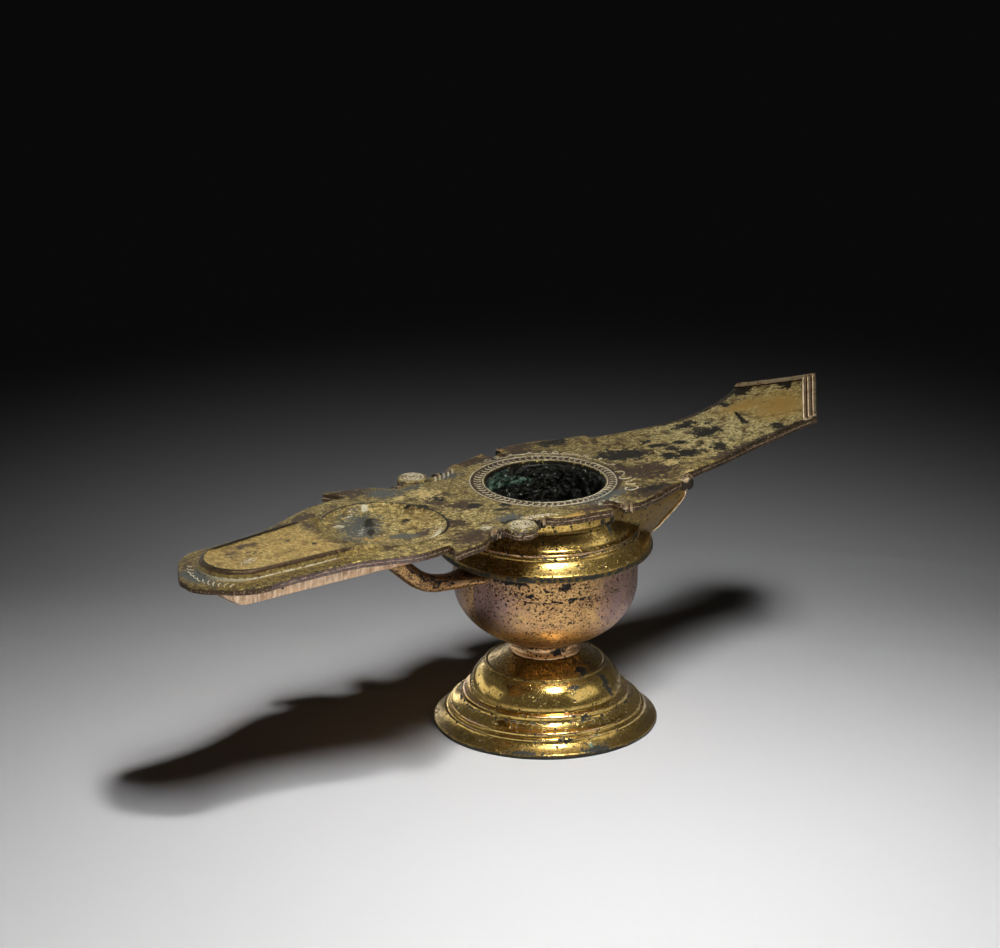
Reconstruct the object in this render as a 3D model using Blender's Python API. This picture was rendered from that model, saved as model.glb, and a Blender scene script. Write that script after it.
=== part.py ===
"""Bronze pedestal oil lamp: a long flat top with nozzle and handle, a bowl on a strut, and a turned foot.

The lamp is modelled about the axis that its bowl and foot were turned on. The handle points along +X and
the nozzle along -X, and an empty moves that axis so that the lamp's box is centred on the origin.
Sizes are in millimetres, and MM turns them to metres as each mesh is made. Heights that a docstring calls
levels are measured from PLATE_TOP, the flat top beside the filling hole.
"""

import math

import bmesh
import bpy
import numpy as np

for old in list(bpy.data.objects):
    bpy.data.objects.remove(old)

MM = 0.001
TURN_STEPS = 44
JOINT_GAP = 0.3
BURIED = 1.2

# Heights above the ground.
FOOT_TOP = 23.4
BOWL_MIDDLE = 46.5
FLANGE_LEVEL = 57.4
BAR_BOTTOM = 69.65
PLATE_TOP = 78.8

# Reach of the top from the turned axis.
NOZZLE_TIP = 136.2
HANDLE_CORNER = (94.6, 19.5)
HANDLE_APEX = 111.4
AXIS_X = (NOZZLE_TIP - HANDLE_APEX) / 2

# Turned parts and their wall.
FOOT_RADIUS = 35.0
STEM_RADIUS = 10.7
BOWL_RADIUS = 28.7
BOWL_DEPTH = 20.3
FLANGE_RADIUS = 33.4
COLLAR_RADIUS = 25.0
FILLING_HOLE_RADIUS = 18.7
WALL = 2.2

# The top plate's thickness and bend.
PLATE_THICK = 3.0
CROWN_HEIGHT = 0.5
TIP_DROOP = 1.8
DROOP_START = -118.0
HANDLE_FLAT_END = 53.0
HANDLE_CURVE = 0.0031

# What stands on the plate or is sunk in it.
DISH_X = -62.8
DISH_RADIUS = 19.2
DISH_RIM_LEVEL = 0.9
DISH_DEPTH = 2.3
KNOB = (-30.9, 27.0)
KNOB_RADIUS = 4.9
KNOB_RISE = 0.7
TABLE_TIP = -129.5
TABLE_HALF = 12.7
TABLE_FLARE = 0.075
CREST_LEVEL = 2.65
REED_PITCH = 1.5
REED_RISE = 1.1
REED_INSET = 0.15

# The bar under the nozzle.
BAR_HALF = 12.6
BOW_LENGTH = 8.5
BAR_TIP = -131.5
BAR_ROOT = -57.0
BAR_SLOPE = 0.025
BOW_START = -123.0
BOW_RISE = 5.5


def make_material(name, color, roughness):
    material = bpy.data.materials.new(name)
    material.use_nodes = True
    shader = material.node_tree.nodes["Principled BSDF"]
    shader.inputs["Base Color"].default_value = (*color, 1.0)
    shader.inputs["Roughness"].default_value = roughness
    shader.inputs["Metallic"].default_value = 1.0
    material.diffuse_color = (*color, 1.0)
    return material


def make_object(name, bm, material=None):
    """An object from a bmesh in millimetres. Without a material it is a helper that Booleans use."""
    bmesh.ops.triangulate(bm, faces=bm.faces)
    bmesh.ops.scale(bm, vec=(MM, MM, MM), verts=bm.verts)
    mesh = bpy.data.meshes.new(name)
    bm.to_mesh(mesh)
    bm.free()
    thing = bpy.data.objects.new(name, mesh)
    bpy.context.scene.collection.objects.link(thing)
    thing.parent = lamp_axis
    if material:
        mesh.materials.append(material)
    else:
        thing.hide_render = True
        thing.display_type = "WIRE"
    return thing


def combine(body, other, operation, solver="EXACT"):
    step = body.modifiers.new(f"{operation.lower()}_{other.name}", "BOOLEAN")
    step.operation = operation
    step.solver = solver
    step.object = other


def shade(thing):
    thing.data.shade_smooth()
    thing.data.set_sharp_from_angle(angle=math.radians(30))


def smooth(points, spacing):
    """A Catmull-Rom curve through the points, with about one point each `spacing` millimetres."""
    points = np.array(points, float)
    ends = np.vstack([2 * points[0] - points[1], points, 2 * points[-1] - points[-2]])
    curve = []
    for before, start, end, after in zip(ends, ends[1:], ends[2:], ends[3:]):
        count = max(1, round(np.linalg.norm(end - start) / spacing))
        for t in np.arange(count) / count:
            curve.append(
                0.5 * (
                    2 * start
                    + (end - before) * t
                    + (2 * before - 5 * start + 4 * end - after) * t**2
                    + (3 * start - before - 3 * end + after) * t**3
                )
            )
    return np.array(curve + [points[-1]])


def arc(center, radius, start, end, count):
    """Points on a circle from one angle to another, in degrees."""
    angle = np.radians(np.linspace(start, end, count))
    return np.column_stack([center[0] + radius * np.cos(angle), center[1] + radius * np.sin(angle)])


def ramp(x, start, end):
    """Eases from 0 at start to 1 at end."""
    share = min(1.0, max(0.0, (x - start) / (end - start)))
    return share * share * (3 - 2 * share)


def mirrored(half):
    """The whole outline from its +Y half, whose ends are on the middle line."""
    return np.vstack([half, half[-2:0:-1] * (1, -1)])


def turned(name, profile, material=None, center=(0, 0)):
    """A solid of revolution. The profile runs down the outside and starts and ends on the axis."""
    bm = bmesh.new()
    line = [bm.verts.new((radius, 0, height)) for radius, height in profile]
    edges = [bm.edges.new(pair) for pair in zip(line, line[1:])]
    bmesh.ops.spin(
        bm, geom=line + edges, cent=(0, 0, 0), axis=(0, 0, 1), angle=2 * math.pi, steps=TURN_STEPS
    )
    bmesh.ops.remove_doubles(bm, verts=bm.verts, dist=0.001)
    bmesh.ops.recalc_face_normals(bm, faces=bm.faces)
    bmesh.ops.translate(bm, vec=(*center, 0), verts=bm.verts)
    return make_object(name, bm, material)


def loft(sections):
    """A bmesh through closed sections of equal count, capped at both ends."""
    bm = bmesh.new()
    rings = [[bm.verts.new(point) for point in section] for section in sections]
    count = len(rings[0])
    for low, high in zip(rings, rings[1:]):
        for i in range(count):
            j = (i + 1) % count
            bm.faces.new((low[i], low[j], high[j], high[i]))
    bm.faces.new(rings[0])
    bm.faces.new(rings[-1])
    bmesh.ops.recalc_face_normals(bm, faces=bm.faces)
    return bm


# The top plate: one outline from nozzle tip to handle, cut with leaves, flutes, knobs and notches.

def level(x):
    """The plate's top: crowned a little round the dish, drooping at the tip and swept up at the handle."""
    crown = CROWN_HEIGHT * ramp(-x, 45, 60) * ramp(x, -102, -84)
    droop = TIP_DROOP * (max(0.0, DROOP_START - x) / (NOZZLE_TIP + DROOP_START)) ** 2
    sweep = HANDLE_CURVE * max(0.0, x - HANDLE_FLAT_END) ** 2
    return crown + sweep - droop


def under(x):
    """The plate's underside: the plate is thinner beside the wick channel and at both ends."""
    nozzle = -0.6 * ramp(-x, 66, 82) - 0.6 * ramp(-x, 118, 136)
    handle = -0.6 * ramp(x, 40, 65) - 0.5 * ramp(x, 80, 105)
    return level(x) - PLATE_THICK - nozzle - handle


def half_outline():
    """The +Y edge of the top from the nozzle's tip to the handle's apex, as smooth stretches between corners."""
    nozzle = smooth(
        [(-NOZZLE_TIP, 0), (-135.3, 5), (-132, 10.2), (-127.5, 15.9), (-121, 18.4), (-111, 18.2),
         (-100, 18.7), (-90, 20.3), (-80, 23.7), (-70, 26.7), (-58.6, 26.5)], 5)
    hook = smooth([(-59.2, 29.5), (-61.4, 33)], 3)
    leaf = smooth([(-60.4, 33.4), (-55, 32), (-49, 30.8), (-44.5, 28.4), (-41, 24.6)], 3)
    flutes = [(-39.4, 24.9), (-38.6, 24.2), (-37.6, 24.7), (-36.8, 24.0)]
    knob = arc(KNOB, KNOB_RADIUS, 205, -25, 13)
    step = [(-25.2, 26.0), (-22.8, 25.7)]
    small_leaf = smooth([(-20.2, 25), (-17.5, 27.6), (-13, 29.7), (-6, 30.9), (0.6, 32.6)], 3)
    notch = smooth([(0.2, 29.4), (1.6, 26.2), (3.4, 25), (5, 26.2), (5.4, 29)], 2)
    lobe = smooth([(7.2, 32.4), (12, 32.4), (20, 30.8), (27, 28.2), (35.2, 25.8)], 4)
    handle = smooth(
        [(37, 24.4), (36.8, 22.5), (45, 20.6), (57, 18.6), (68, 16.9), (78, 16.6), (88, 17.7), HANDLE_CORNER], 6)
    apex = [(HANDLE_APEX, 0)]
    return np.vstack([nozzle, hook, leaf, flutes, knob, step, small_leaf, notch, lobe, handle, apex])


def bend(bm, stations, low, high):
    """Cuts a flat body across at each station, then moves its heights 0 to 1 to lie between two curves of x."""
    for x in stations:
        everything = bm.verts[:] + bm.edges[:] + bm.faces[:]
        bmesh.ops.bisect_plane(bm, geom=everything, plane_co=(x, 0, 0), plane_no=(1, 0, 0))
    for vertex in bm.verts:
        x, _, share = vertex.co
        vertex.co.z = PLATE_TOP + low(x) + share * (high(x) - low(x))
    return bm


def make_plate(material):
    outline = mirrored(half_outline())
    flat = loft([[(x, y, share) for x, y in outline] for share in (0, 1)])
    nozzle = np.arange(-132, -80, 6)
    handle = np.linspace(HANDLE_FLAT_END, HANDLE_APEX - 4, 9)
    return make_object("upper_body", bend(flat, [*nozzle, -54, 41, *handle], under, level), material)


def make_wick_table():
    """The raised U-shaped table of the nozzle with the shallow wick channel sunk in its top.

    Each ring is a round tip and two sides that flare to a square end near the dish. The rings climb the
    outer wall, cross the rounded crest and end on the channel's floor.
    """
    rings = []
    for inset, side, root, height in (
        (0, 0, -77, -1.6),
        (0, 0, -77.3, -1),
        (0.3, 0.4, -79, 0.8),
        (0.9, 0.8, -82.5, 2.2),
        (1.9, 1.2, -84.6, CREST_LEVEL),
        (3.2, 1.6, -85.6, CREST_LEVEL),
        (4, 1.9, -86, CREST_LEVEL - 0.35),
    ):
        radius = TABLE_HALF - side
        tip = arc((TABLE_TIP + inset + radius, 0), radius, 100, 180, 8)
        flare = radius + TABLE_FLARE * (root - tip[0][0])
        outline = mirrored(np.vstack([[(root, 0), (root, flare)], tip]))
        rings.append([(x, y, PLATE_TOP + height) for x, y in outline])
    return make_object("wick_table", loft(rings))


def make_dish_cutter():
    """The shallow round dish between the wick channel and the filling hole, steepest at its rim."""
    rim = PLATE_TOP + DISH_RIM_LEVEL
    profile = [(0, rim + 5), (DISH_RADIUS, rim + 5), (DISH_RADIUS, rim)]
    for share in (0.96, 0.88, 0.76, 0.6, 0.4, 0):
        profile.append((DISH_RADIUS * share, rim - DISH_DEPTH * math.sqrt(1 - share**4)))
    return turned("dish_cutter", profile, center=(DISH_X, 0))


def make_knob(name, side):
    """A disc standing proud on the round lug behind each leaf."""
    top = PLATE_TOP + KNOB_RISE
    radius = KNOB_RADIUS - 0.25
    profile = [(0, top), (radius - 0.5, top), (radius, top - 0.4), (radius, PLATE_TOP - BURIED),
               (0, PLATE_TOP - BURIED)]
    return turned(name, profile, center=(KNOB[0], side * KNOB[1]))


def make_reeds():
    """Three parallel reeds along both edges of the handle's gable, mitred at the apex and the corners."""
    corner = np.array(HANDLE_CORNER)
    edge = np.array([HANDLE_APEX, 0]) - corner
    edge /= np.linalg.norm(edge)
    inward = np.array([edge[1], -edge[0]])
    at_apex = np.array([1 / inward[0], 0])
    side = np.array((-0.96, -0.28))
    at_corner = side / side.dot(inward)
    profile = [(REED_INSET, -BURIED)]
    for reed in range(3):
        start = REED_INSET + reed * REED_PITCH
        profile += [(start, REED_RISE - 0.7), (start + 0.4, REED_RISE), (start + 1.1, REED_RISE)]
    band = REED_INSET + 3 * REED_PITCH
    profile += [(band, REED_RISE - 0.7), (band, -BURIED)]
    sections = []
    for turn in np.linspace(-0.98, 0.98, 13):
        along = abs(turn)
        place = corner * along + np.array([HANDLE_APEX, 0]) * (1 - along)
        offset = at_corner * along + at_apex * (1 - along)
        section = []
        for across, height in profile:
            x, y = place + offset * across
            section.append((x, math.copysign(y, turn), PLATE_TOP + level(x) + height))
        sections.append(section)
    return make_object("reeds", loft(sections))


# The collar and shoulder under the plate, and the flare that carries the handle's root.

def make_shoulder():
    """Collar, two ridges and a sloping shoulder, from inside the plate down to the flange."""
    top = PLATE_TOP - PLATE_THICK + BURIED
    profile = [
        (0, top), (COLLAR_RADIUS, top), (COLLAR_RADIUS, 71), (24.6, 70.3), (25, 69.3), (26, 68.3), (27.2, 66.4),
        (28.6, 65.1), (29.1, 64.5), (28.9, 63.9), (29.2, 63.2), (29.5, 62.5), (30.6, 61.4),
        (FLANGE_RADIUS - 0.5, 59.7), (FLANGE_RADIUS, 58.8), (FLANGE_RADIUS, FLANGE_LEVEL), (0, FLANGE_LEVEL),
    ]
    return turned("shoulder", profile)


def make_bracket():
    """The flare under the handle's root: narrow at the flange, as wide as the lobes under the plate."""
    sections = []
    for height, inner, half_root, reach, half_end in (
        (FLANGE_LEVEL + 0.6, 4, 27, 32.2, 12.5),
        (62, 3, 26, 33.5, 15.8),
        (67, 2, 24, 34.9, 19.8),
        (72, 2, 23.6, 36, 23.4),
        (PLATE_TOP - PLATE_THICK + BURIED, 2, 23.4, 36, 24.8),
    ):
        side = [(inner, half_root), ((inner + reach) / 2, (half_root + half_end) / 2 - 1), (reach, half_end)]
        outline = [*side, (reach + 1.2, 0), *[(x, -y) for x, y in side[::-1]]]
        sections.append([(x, y, height) for x, y in outline])
    return make_object("bracket", loft(sections))


def make_oil_space():
    """The oil space above the flange: the filling hole, its lip, and the hollow of the shoulder."""
    lip = PLATE_TOP - PLATE_THICK
    profile = [
        (0, PLATE_TOP + 5), (FILLING_HOLE_RADIUS, PLATE_TOP + 5), (FILLING_HOLE_RADIUS, lip - 0.4),
        (COLLAR_RADIUS - WALL, lip - 1.6), (COLLAR_RADIUS - WALL, 69), (BOWL_RADIUS - WALL, 63.5),
        (BOWL_RADIUS - WALL, FLANGE_LEVEL - 5), (0, FLANGE_LEVEL - 5),
    ]
    return turned("oil_space", profile)


# The bowl with its stem, and cast with it the strut that reaches out to the bar under the nozzle.

def make_bowl(material):
    """A concave neck, half an ellipse, and a plain wall up to the flange."""
    top = FLANGE_LEVEL - JOINT_GAP
    profile = [(0, top), (BOWL_RADIUS - 0.1, top), (BOWL_RADIUS, 52)]
    for angle in np.linspace(math.pi / 2, math.asin(STEM_RADIUS / BOWL_RADIUS), 11):
        profile.append((BOWL_RADIUS * math.sin(angle), BOWL_MIDDLE - BOWL_DEPTH * math.cos(angle)))
    stem = [(STEM_RADIUS - 0.5, 26.6), (STEM_RADIUS - 0.3, 25.2), (STEM_RADIUS + 0.5, FOOT_TOP + JOINT_GAP)]
    return turned("bowl", [*profile, *stem, (0, FOOT_TOP + JOINT_GAP)], material)


def make_bowl_space():
    inside = BOWL_RADIUS - WALL
    depth = BOWL_DEPTH - WALL
    profile = [(0, FLANGE_LEVEL + 4), (inside, FLANGE_LEVEL + 4), (inside, 52)]
    for angle in np.linspace(math.pi / 2, 0.12, 9):
        profile.append((inside * math.sin(angle), BOWL_MIDDLE - depth * math.cos(angle)))
    return turned("bowl_space", [*profile, (0, BOWL_MIDDLE - depth)])


def make_strut():
    """A bent arm from the bowl's wall up to the bar: oval, flat where it meets the bowl, thicker at the bar.

    Each station is x, height, half width across the lamp and half thickness in its plane.
    """
    stations = [
        (-64, 70.5, 4.5, 3.4), (-59, 66.2, 3.4, 3.1), (-54.5, 62, 3.1, 2.9), (-50, 58.3, 3, 2.9),
        (-45, 55.9, 3.1, 2.8), (-39, 54.8, 3.6, 2.5), (-33, 54.5, 5, 2.4), (-26.5, 54.5, 7.2, 2.4),
    ]
    sections = []
    for i, (x, z, half, thick) in enumerate(stations):
        behind = stations[max(i - 1, 0)]
        ahead = stations[min(i + 1, len(stations) - 1)]
        slope = math.atan2(ahead[1] - behind[1], ahead[0] - behind[0])
        ring = []
        for offset, across in arc((0, 0), 1, 0, 330, 12):
            rise = thick * offset
            ring.append((x - rise * math.sin(slope), half * across, z + rise * math.cos(slope)))
        sections.append(ring)
    return make_object("strut", loft(sections))


def bar_top(x):
    return under(x) - JOINT_GAP


def bar_bottom(x):
    """A slight slope upwards from the root, then a bow that rises towards the tip."""
    bow = max(0.0, BOW_START - x) / (BOW_START - BAR_TIP)
    slope = BAR_SLOPE * (BAR_ROOT - x)
    return min(BAR_BOTTOM - PLATE_TOP + slope + BOW_RISE * bow**2.2, bar_top(x) - 0.4)


def make_bar():
    """The bar under the nozzle: straight sides, a flat bottom with a rounded edge, and a round bow."""
    sections = []
    for share, inset in ((1, 0), (0.45, 0.2), (0.1, 0.8), (0, 1.8)):
        half = BAR_HALF - 0.4 * inset
        turn = np.radians(np.linspace(0, 90, 8))
        tip = np.column_stack([
            BAR_TIP + inset + BOW_LENGTH * (1 - np.cos(turn) ** 0.8), half * np.sin(turn) ** 0.8
        ])
        outline = mirrored(np.vstack([[(BAR_ROOT, 0), (BAR_ROOT, half)], tip[::-1]]))
        sections.append([(x, y, share) for x, y in outline])
    stations = [-129, -126, -123, *range(-117, -57, 6)]
    return make_object("nozzle_bar", bend(loft(sections), stations, bar_bottom, bar_top))


# The foot: turned in steps, and hollow beneath.

def make_foot(material):
    outside = [
        (STEM_RADIUS + 0.8, FOOT_TOP), (13.5, 22.3), (18.2, 19.6), (18.9, 19.4), (19.1, 18.9), (20.4, 18),
        (21.7, 16.7), (22.8, 15), (23.6, 13), (24, 11), (24.8, 10.6), (25.7, 10.2), (26.1, 9.4), (26.2, 8.6),
        (27.2, 7.8), (28.6, 6.9), (29.7, 6.2), (30, 5.2), (30.8, 4.9), (31.2, 4.1), (32.2, 3), (33.5, 2),
        (FOOT_RADIUS, 1.1), (FOOT_RADIUS, 0),
    ]
    inside = [(FOOT_RADIUS - 2, 0), (31, 1.4), (27.8, 4.2), (24.4, 8), (21.8, 12), (19.2, 15.4), (15.4, 18.2),
              (STEM_RADIUS, 20.3)]
    return turned("foot", [(0, FOOT_TOP), *outside, *inside, (0, 20.8)], material)


lamp_axis = bpy.data.objects.new("lamp_axis", None)
bpy.context.scene.collection.objects.link(lamp_axis)
lamp_axis.location = (AXIS_X * MM, 0, 0)

# The bracket and the knobs graze other facets, where the exact solver leaves open edges.
upper_body = make_plate(make_material("brass_plate", (0.42, 0.31, 0.12), 0.42))
for addition in (make_shoulder(), make_bracket(), make_wick_table(), make_reeds(),
                 make_knob("near_knob", -1), make_knob("far_knob", 1)):
    combine(upper_body, addition, "UNION", "MANIFOLD")
for cutter in (make_dish_cutter(), make_oil_space()):
    combine(upper_body, cutter, "DIFFERENCE", "MANIFOLD")

bowl = make_bowl(make_material("coppery_bowl", (0.50, 0.29, 0.15), 0.35))
combine(bowl, make_strut(), "UNION")
combine(bowl, make_bar(), "UNION")
combine(bowl, make_bowl_space(), "DIFFERENCE")

foot = make_foot(make_material("brass_foot", (0.52, 0.36, 0.12), 0.28))

for piece in (upper_body, bowl, foot):
    shade(piece)
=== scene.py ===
"""The looks of a bronze pedestal oil lamp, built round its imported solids.

Every piece is worked out in millimetres about the axis that the bowl and foot were turned on: the handle
points along +X and the nozzle along -X. make_piece moves it to that axis in the frame and turns it to metres.
"""

import math

import bmesh
import bpy
import numpy as np
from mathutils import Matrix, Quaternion, Vector
from mathutils.geometry import delaunay_2d_cdt


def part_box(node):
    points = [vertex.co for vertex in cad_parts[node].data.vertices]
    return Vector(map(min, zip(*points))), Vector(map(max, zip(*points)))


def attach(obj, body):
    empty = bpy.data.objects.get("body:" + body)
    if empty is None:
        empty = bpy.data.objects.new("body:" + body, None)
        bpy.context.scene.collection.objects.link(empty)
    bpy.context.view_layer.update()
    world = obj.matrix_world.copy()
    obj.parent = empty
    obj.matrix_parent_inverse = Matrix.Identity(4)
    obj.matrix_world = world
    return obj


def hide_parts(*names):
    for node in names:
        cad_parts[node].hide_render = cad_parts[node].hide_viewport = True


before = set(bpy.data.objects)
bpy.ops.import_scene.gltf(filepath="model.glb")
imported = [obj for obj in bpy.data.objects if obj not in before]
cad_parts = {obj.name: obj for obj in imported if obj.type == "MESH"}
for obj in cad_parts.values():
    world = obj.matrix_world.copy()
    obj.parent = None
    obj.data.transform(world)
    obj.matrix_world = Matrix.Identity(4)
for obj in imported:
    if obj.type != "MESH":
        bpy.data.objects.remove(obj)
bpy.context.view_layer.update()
foot_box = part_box("foot")
AXIS_X = (foot_box[0].x + foot_box[1].x) / 2

# ---------------------------------------------------------------------------------------------------------
# The stand: a plain pale floor, a camera a little above the lamp, and soft lamps overhead and to the sides.

def link(thing):
    bpy.context.scene.collection.objects.link(thing)
    return thing


def make_camera(azimuth, elevation, roll, target, distance, lens):
    """Looks at the target from a direction given in degrees, with the azimuth measured from +Y towards +X."""
    turn, rise = math.radians(azimuth), math.radians(elevation)
    back = Vector((-math.sin(turn) * math.cos(rise), -math.cos(turn) * math.cos(rise), math.sin(rise)))
    data = bpy.data.cameras.new("camera")
    data.lens = lens
    data.sensor_width = 36
    data.clip_end = 30
    camera = link(bpy.data.objects.new("camera", data))
    camera.location = target + back * distance
    camera.rotation_mode = "QUATERNION"
    camera.rotation_quaternion = back.to_track_quat("Z", "Y") @ Quaternion((0, 0, 1), math.radians(-roll))
    return camera


def make_soft_light(name, place, aim, size, power, color=(1, 1, 1), spread=180, on_floor=True):
    """A soft box. With on_floor off it is flagged so that it only shows as a reflection in the metal."""
    data = bpy.data.lights.new(name, "AREA")
    data.shape = "RECTANGLE"
    data.size, data.size_y = size
    data.energy = power
    data.color = color
    data.spread = math.radians(spread)
    light = link(bpy.data.objects.new(name, data))
    light.location = place
    light.rotation_euler = (Vector(aim) - Vector(place)).to_track_quat("-Z", "Y").to_euler()
    light.visible_diffuse = on_floor


bpy.context.scene.camera = make_camera(38.5, 19.9, 0.15, Vector((AXIS_X + 0.0052, 0.029, 0.0717)), 1.8, 206.7)

make_soft_light("overhead_light", (AXIS_X - 0.056, -0.2, 0.65), (AXIS_X - 0.34, -0.398, 0), (0.06, 0.06), 2.2,
                (1, 0.995, 0.985), 104)
make_soft_light("front_fill", (AXIS_X - 0.1, -0.38, 0.8), (AXIS_X - 0.005, -0.034, 0), (0.2, 0.2), 0.17, spread=32)
make_soft_light("left_light", (AXIS_X - 0.86, 0.62, 0.38), (AXIS_X, 0, 0.05), (0.48, 0.4), 0.38, on_floor=False)
make_soft_light("right_light", (AXIS_X + 0.48, -0.88, 0.62), (AXIS_X, 0, 0.05), (0.9, 0.62), 1.4, on_floor=False)
make_soft_light("back_light", (AXIS_X - 0.25, 1.1, 0.24), (AXIS_X, 0, 0.05), (1.2, 0.34), 1.1, on_floor=False)
make_soft_light("handle_light", (AXIS_X + 0.43, 1.12, 0.26), (AXIS_X + 0.1, 0, 0.08), (0.45, 0.25), 0.6, on_floor=False)

world = bpy.data.worlds.new("studio")
world.use_nodes = True
world_tree = world.node_tree
world_tree.nodes["Background"].inputs["Color"].default_value = (1, 0.98, 0.95, 1)
rays = world_tree.nodes.new("ShaderNodeLightPath")
haze = world_tree.nodes.new("ShaderNodeMapRange")
haze.inputs["To Min"].default_value = 0.004
haze.inputs["To Max"].default_value = 0.1
world_tree.links.new(rays.outputs["Is Glossy Ray"], haze.inputs["Value"])
world_tree.links.new(haze.outputs[0], world_tree.nodes["Background"].inputs["Strength"])
bpy.context.scene.world = world
bpy.context.scene.view_settings.view_transform = "Standard"

floor_mesh = bpy.data.meshes.new("floor")
floor_mesh.from_pydata([(-6, -6, 0), (6, -6, 0), (6, 6, 0), (-6, 6, 0)], [], [(0, 1, 2, 3)])
floor = link(bpy.data.objects.new("floor", floor_mesh))
floor_paper = bpy.data.materials.new("floor_paper")
floor_paper.use_nodes = True
floor_paper.node_tree.nodes["Principled BSDF"].inputs["Base Color"].default_value = (0.72, 0.72, 0.73, 1)
floor_paper.node_tree.nodes["Principled BSDF"].inputs["Roughness"].default_value = 0.9
floor_paper.node_tree.nodes["Principled BSDF"].inputs["Specular IOR Level"].default_value = 0
floor_mesh.materials.append(floor_paper)

# ---------------------------------------------------------------------------------------------------------
# The top plate: cast brass with a filed edge. One flat leaf from nozzle tip to handle, with a shallow round
# dish sunk beside the filling hole, and leaves, knobs and notches cut along both sides.

PLATE_TOP = 78.8
PLATE_THICK = 3.0
NOZZLE_TIP = 136.2
HANDLE_CORNER = (94.6, 19.5)
HANDLE_APEX = 111.4
KNOB = (-30.9, 27.0)
KNOB_RADIUS = 4.9
DISH_X = -62.8
DISH_RADIUS = 19.2
DISH_RIM = 0.9
DISH_DEPTH = 2.3
HOLE_RADIUS = 18.7
MM = 0.001


def ramp(x, start, end):
    """Eases from 0 at start to 1 at end."""
    share = np.clip((x - start) / (end - start), 0, 1)
    return share * share * (3 - 2 * share)


def level(x):
    """The plate's top: crowned a little round the dish, drooping at the tip and swept up at the handle."""
    crown = 0.5 * ramp(-x, 45, 60) * ramp(x, -102, -84)
    droop = 1.8 * (np.maximum(0, -118 - x) / 18.2) ** 2
    sweep = 0.0031 * np.maximum(0, x - 53) ** 2
    return PLATE_TOP + crown + sweep - droop


def thickness(x):
    """The plate's thickness: less beside the wick channel and at both ends."""
    nozzle = -0.6 * ramp(-x, 66, 82) - 0.6 * ramp(-x, 118, 136)
    handle = -0.6 * ramp(x, 40, 65) - 0.5 * ramp(x, 80, 105)
    return PLATE_THICK + nozzle + handle


def waves(points, length, seed):
    """Soft unevenness from about -1 to 1: the mean of ten plane waves in random directions."""
    rng = np.random.default_rng(seed)
    directions = rng.normal(size=(10, 3))
    directions /= np.linalg.norm(directions, axis=1, keepdims=True)
    phases = rng.uniform(0, 2 * np.pi, 10)
    stretch = rng.uniform(0.7, 1.5, 10)
    return np.sin(points @ directions.T * stretch * (2 * np.pi / length) + phases).mean(axis=1) * 1.8


def smooth(points, spacing, before=None):
    """A Catmull-Rom curve through the points, with about one point each `spacing` millimetres."""
    points = np.array(points, float)
    first = 2 * points[0] - points[1] if before is None else np.array(before, float)
    ends = np.vstack([first, points, 2 * points[-1] - points[-2]])
    curve = []
    for p0, p1, p2, p3 in zip(ends, ends[1:], ends[2:], ends[3:]):
        t = np.linspace(0, 1, max(2, math.ceil(np.linalg.norm(p2 - p1) / spacing)), endpoint=False)[:, None]
        curve.append(0.5 * (2 * p1 + (p2 - p0) * t + (2 * p0 - 5 * p1 + 4 * p2 - p3) * t**2
                            + (3 * p1 - p0 - 3 * p2 + p3) * t**3))
    return np.vstack([*curve, points[-1]])


def straight(points, spacing):
    """Points along straight runs, corners kept."""
    points = np.array(points, float)
    runs = [np.linspace(a, b, max(2, math.ceil(np.linalg.norm(b - a) / spacing)), endpoint=False)
            for a, b in zip(points, points[1:])]
    return np.vstack([*runs, points[-1]])


def scallops(start, end, count, depth):
    """A run of half-round bumps that stand out to the left of the line from start to end."""
    start, end = np.array(start, float), np.array(end, float)
    t = np.linspace(0, 1, count * 8 + 1)
    out = np.array([-(end - start)[1], (end - start)[0]]) / np.linalg.norm(end - start)
    bump = np.sqrt(np.abs(np.sin(np.pi * count * t))) * depth
    return start + t[:, None] * (end - start) + bump[:, None] * out


def arc(center, radius, start, end, count):
    """Points on a circle from one angle to another, in degrees."""
    angle = np.radians(np.linspace(start, end, count))
    return np.column_stack([center[0] + radius * np.cos(angle), center[1] + radius * np.sin(angle)])


def mirrored(half):
    """The closed outline from its +Y half, whose ends are on the middle line."""
    return np.vstack([half, half[-2:0:-1] * (1, -1)])


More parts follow.
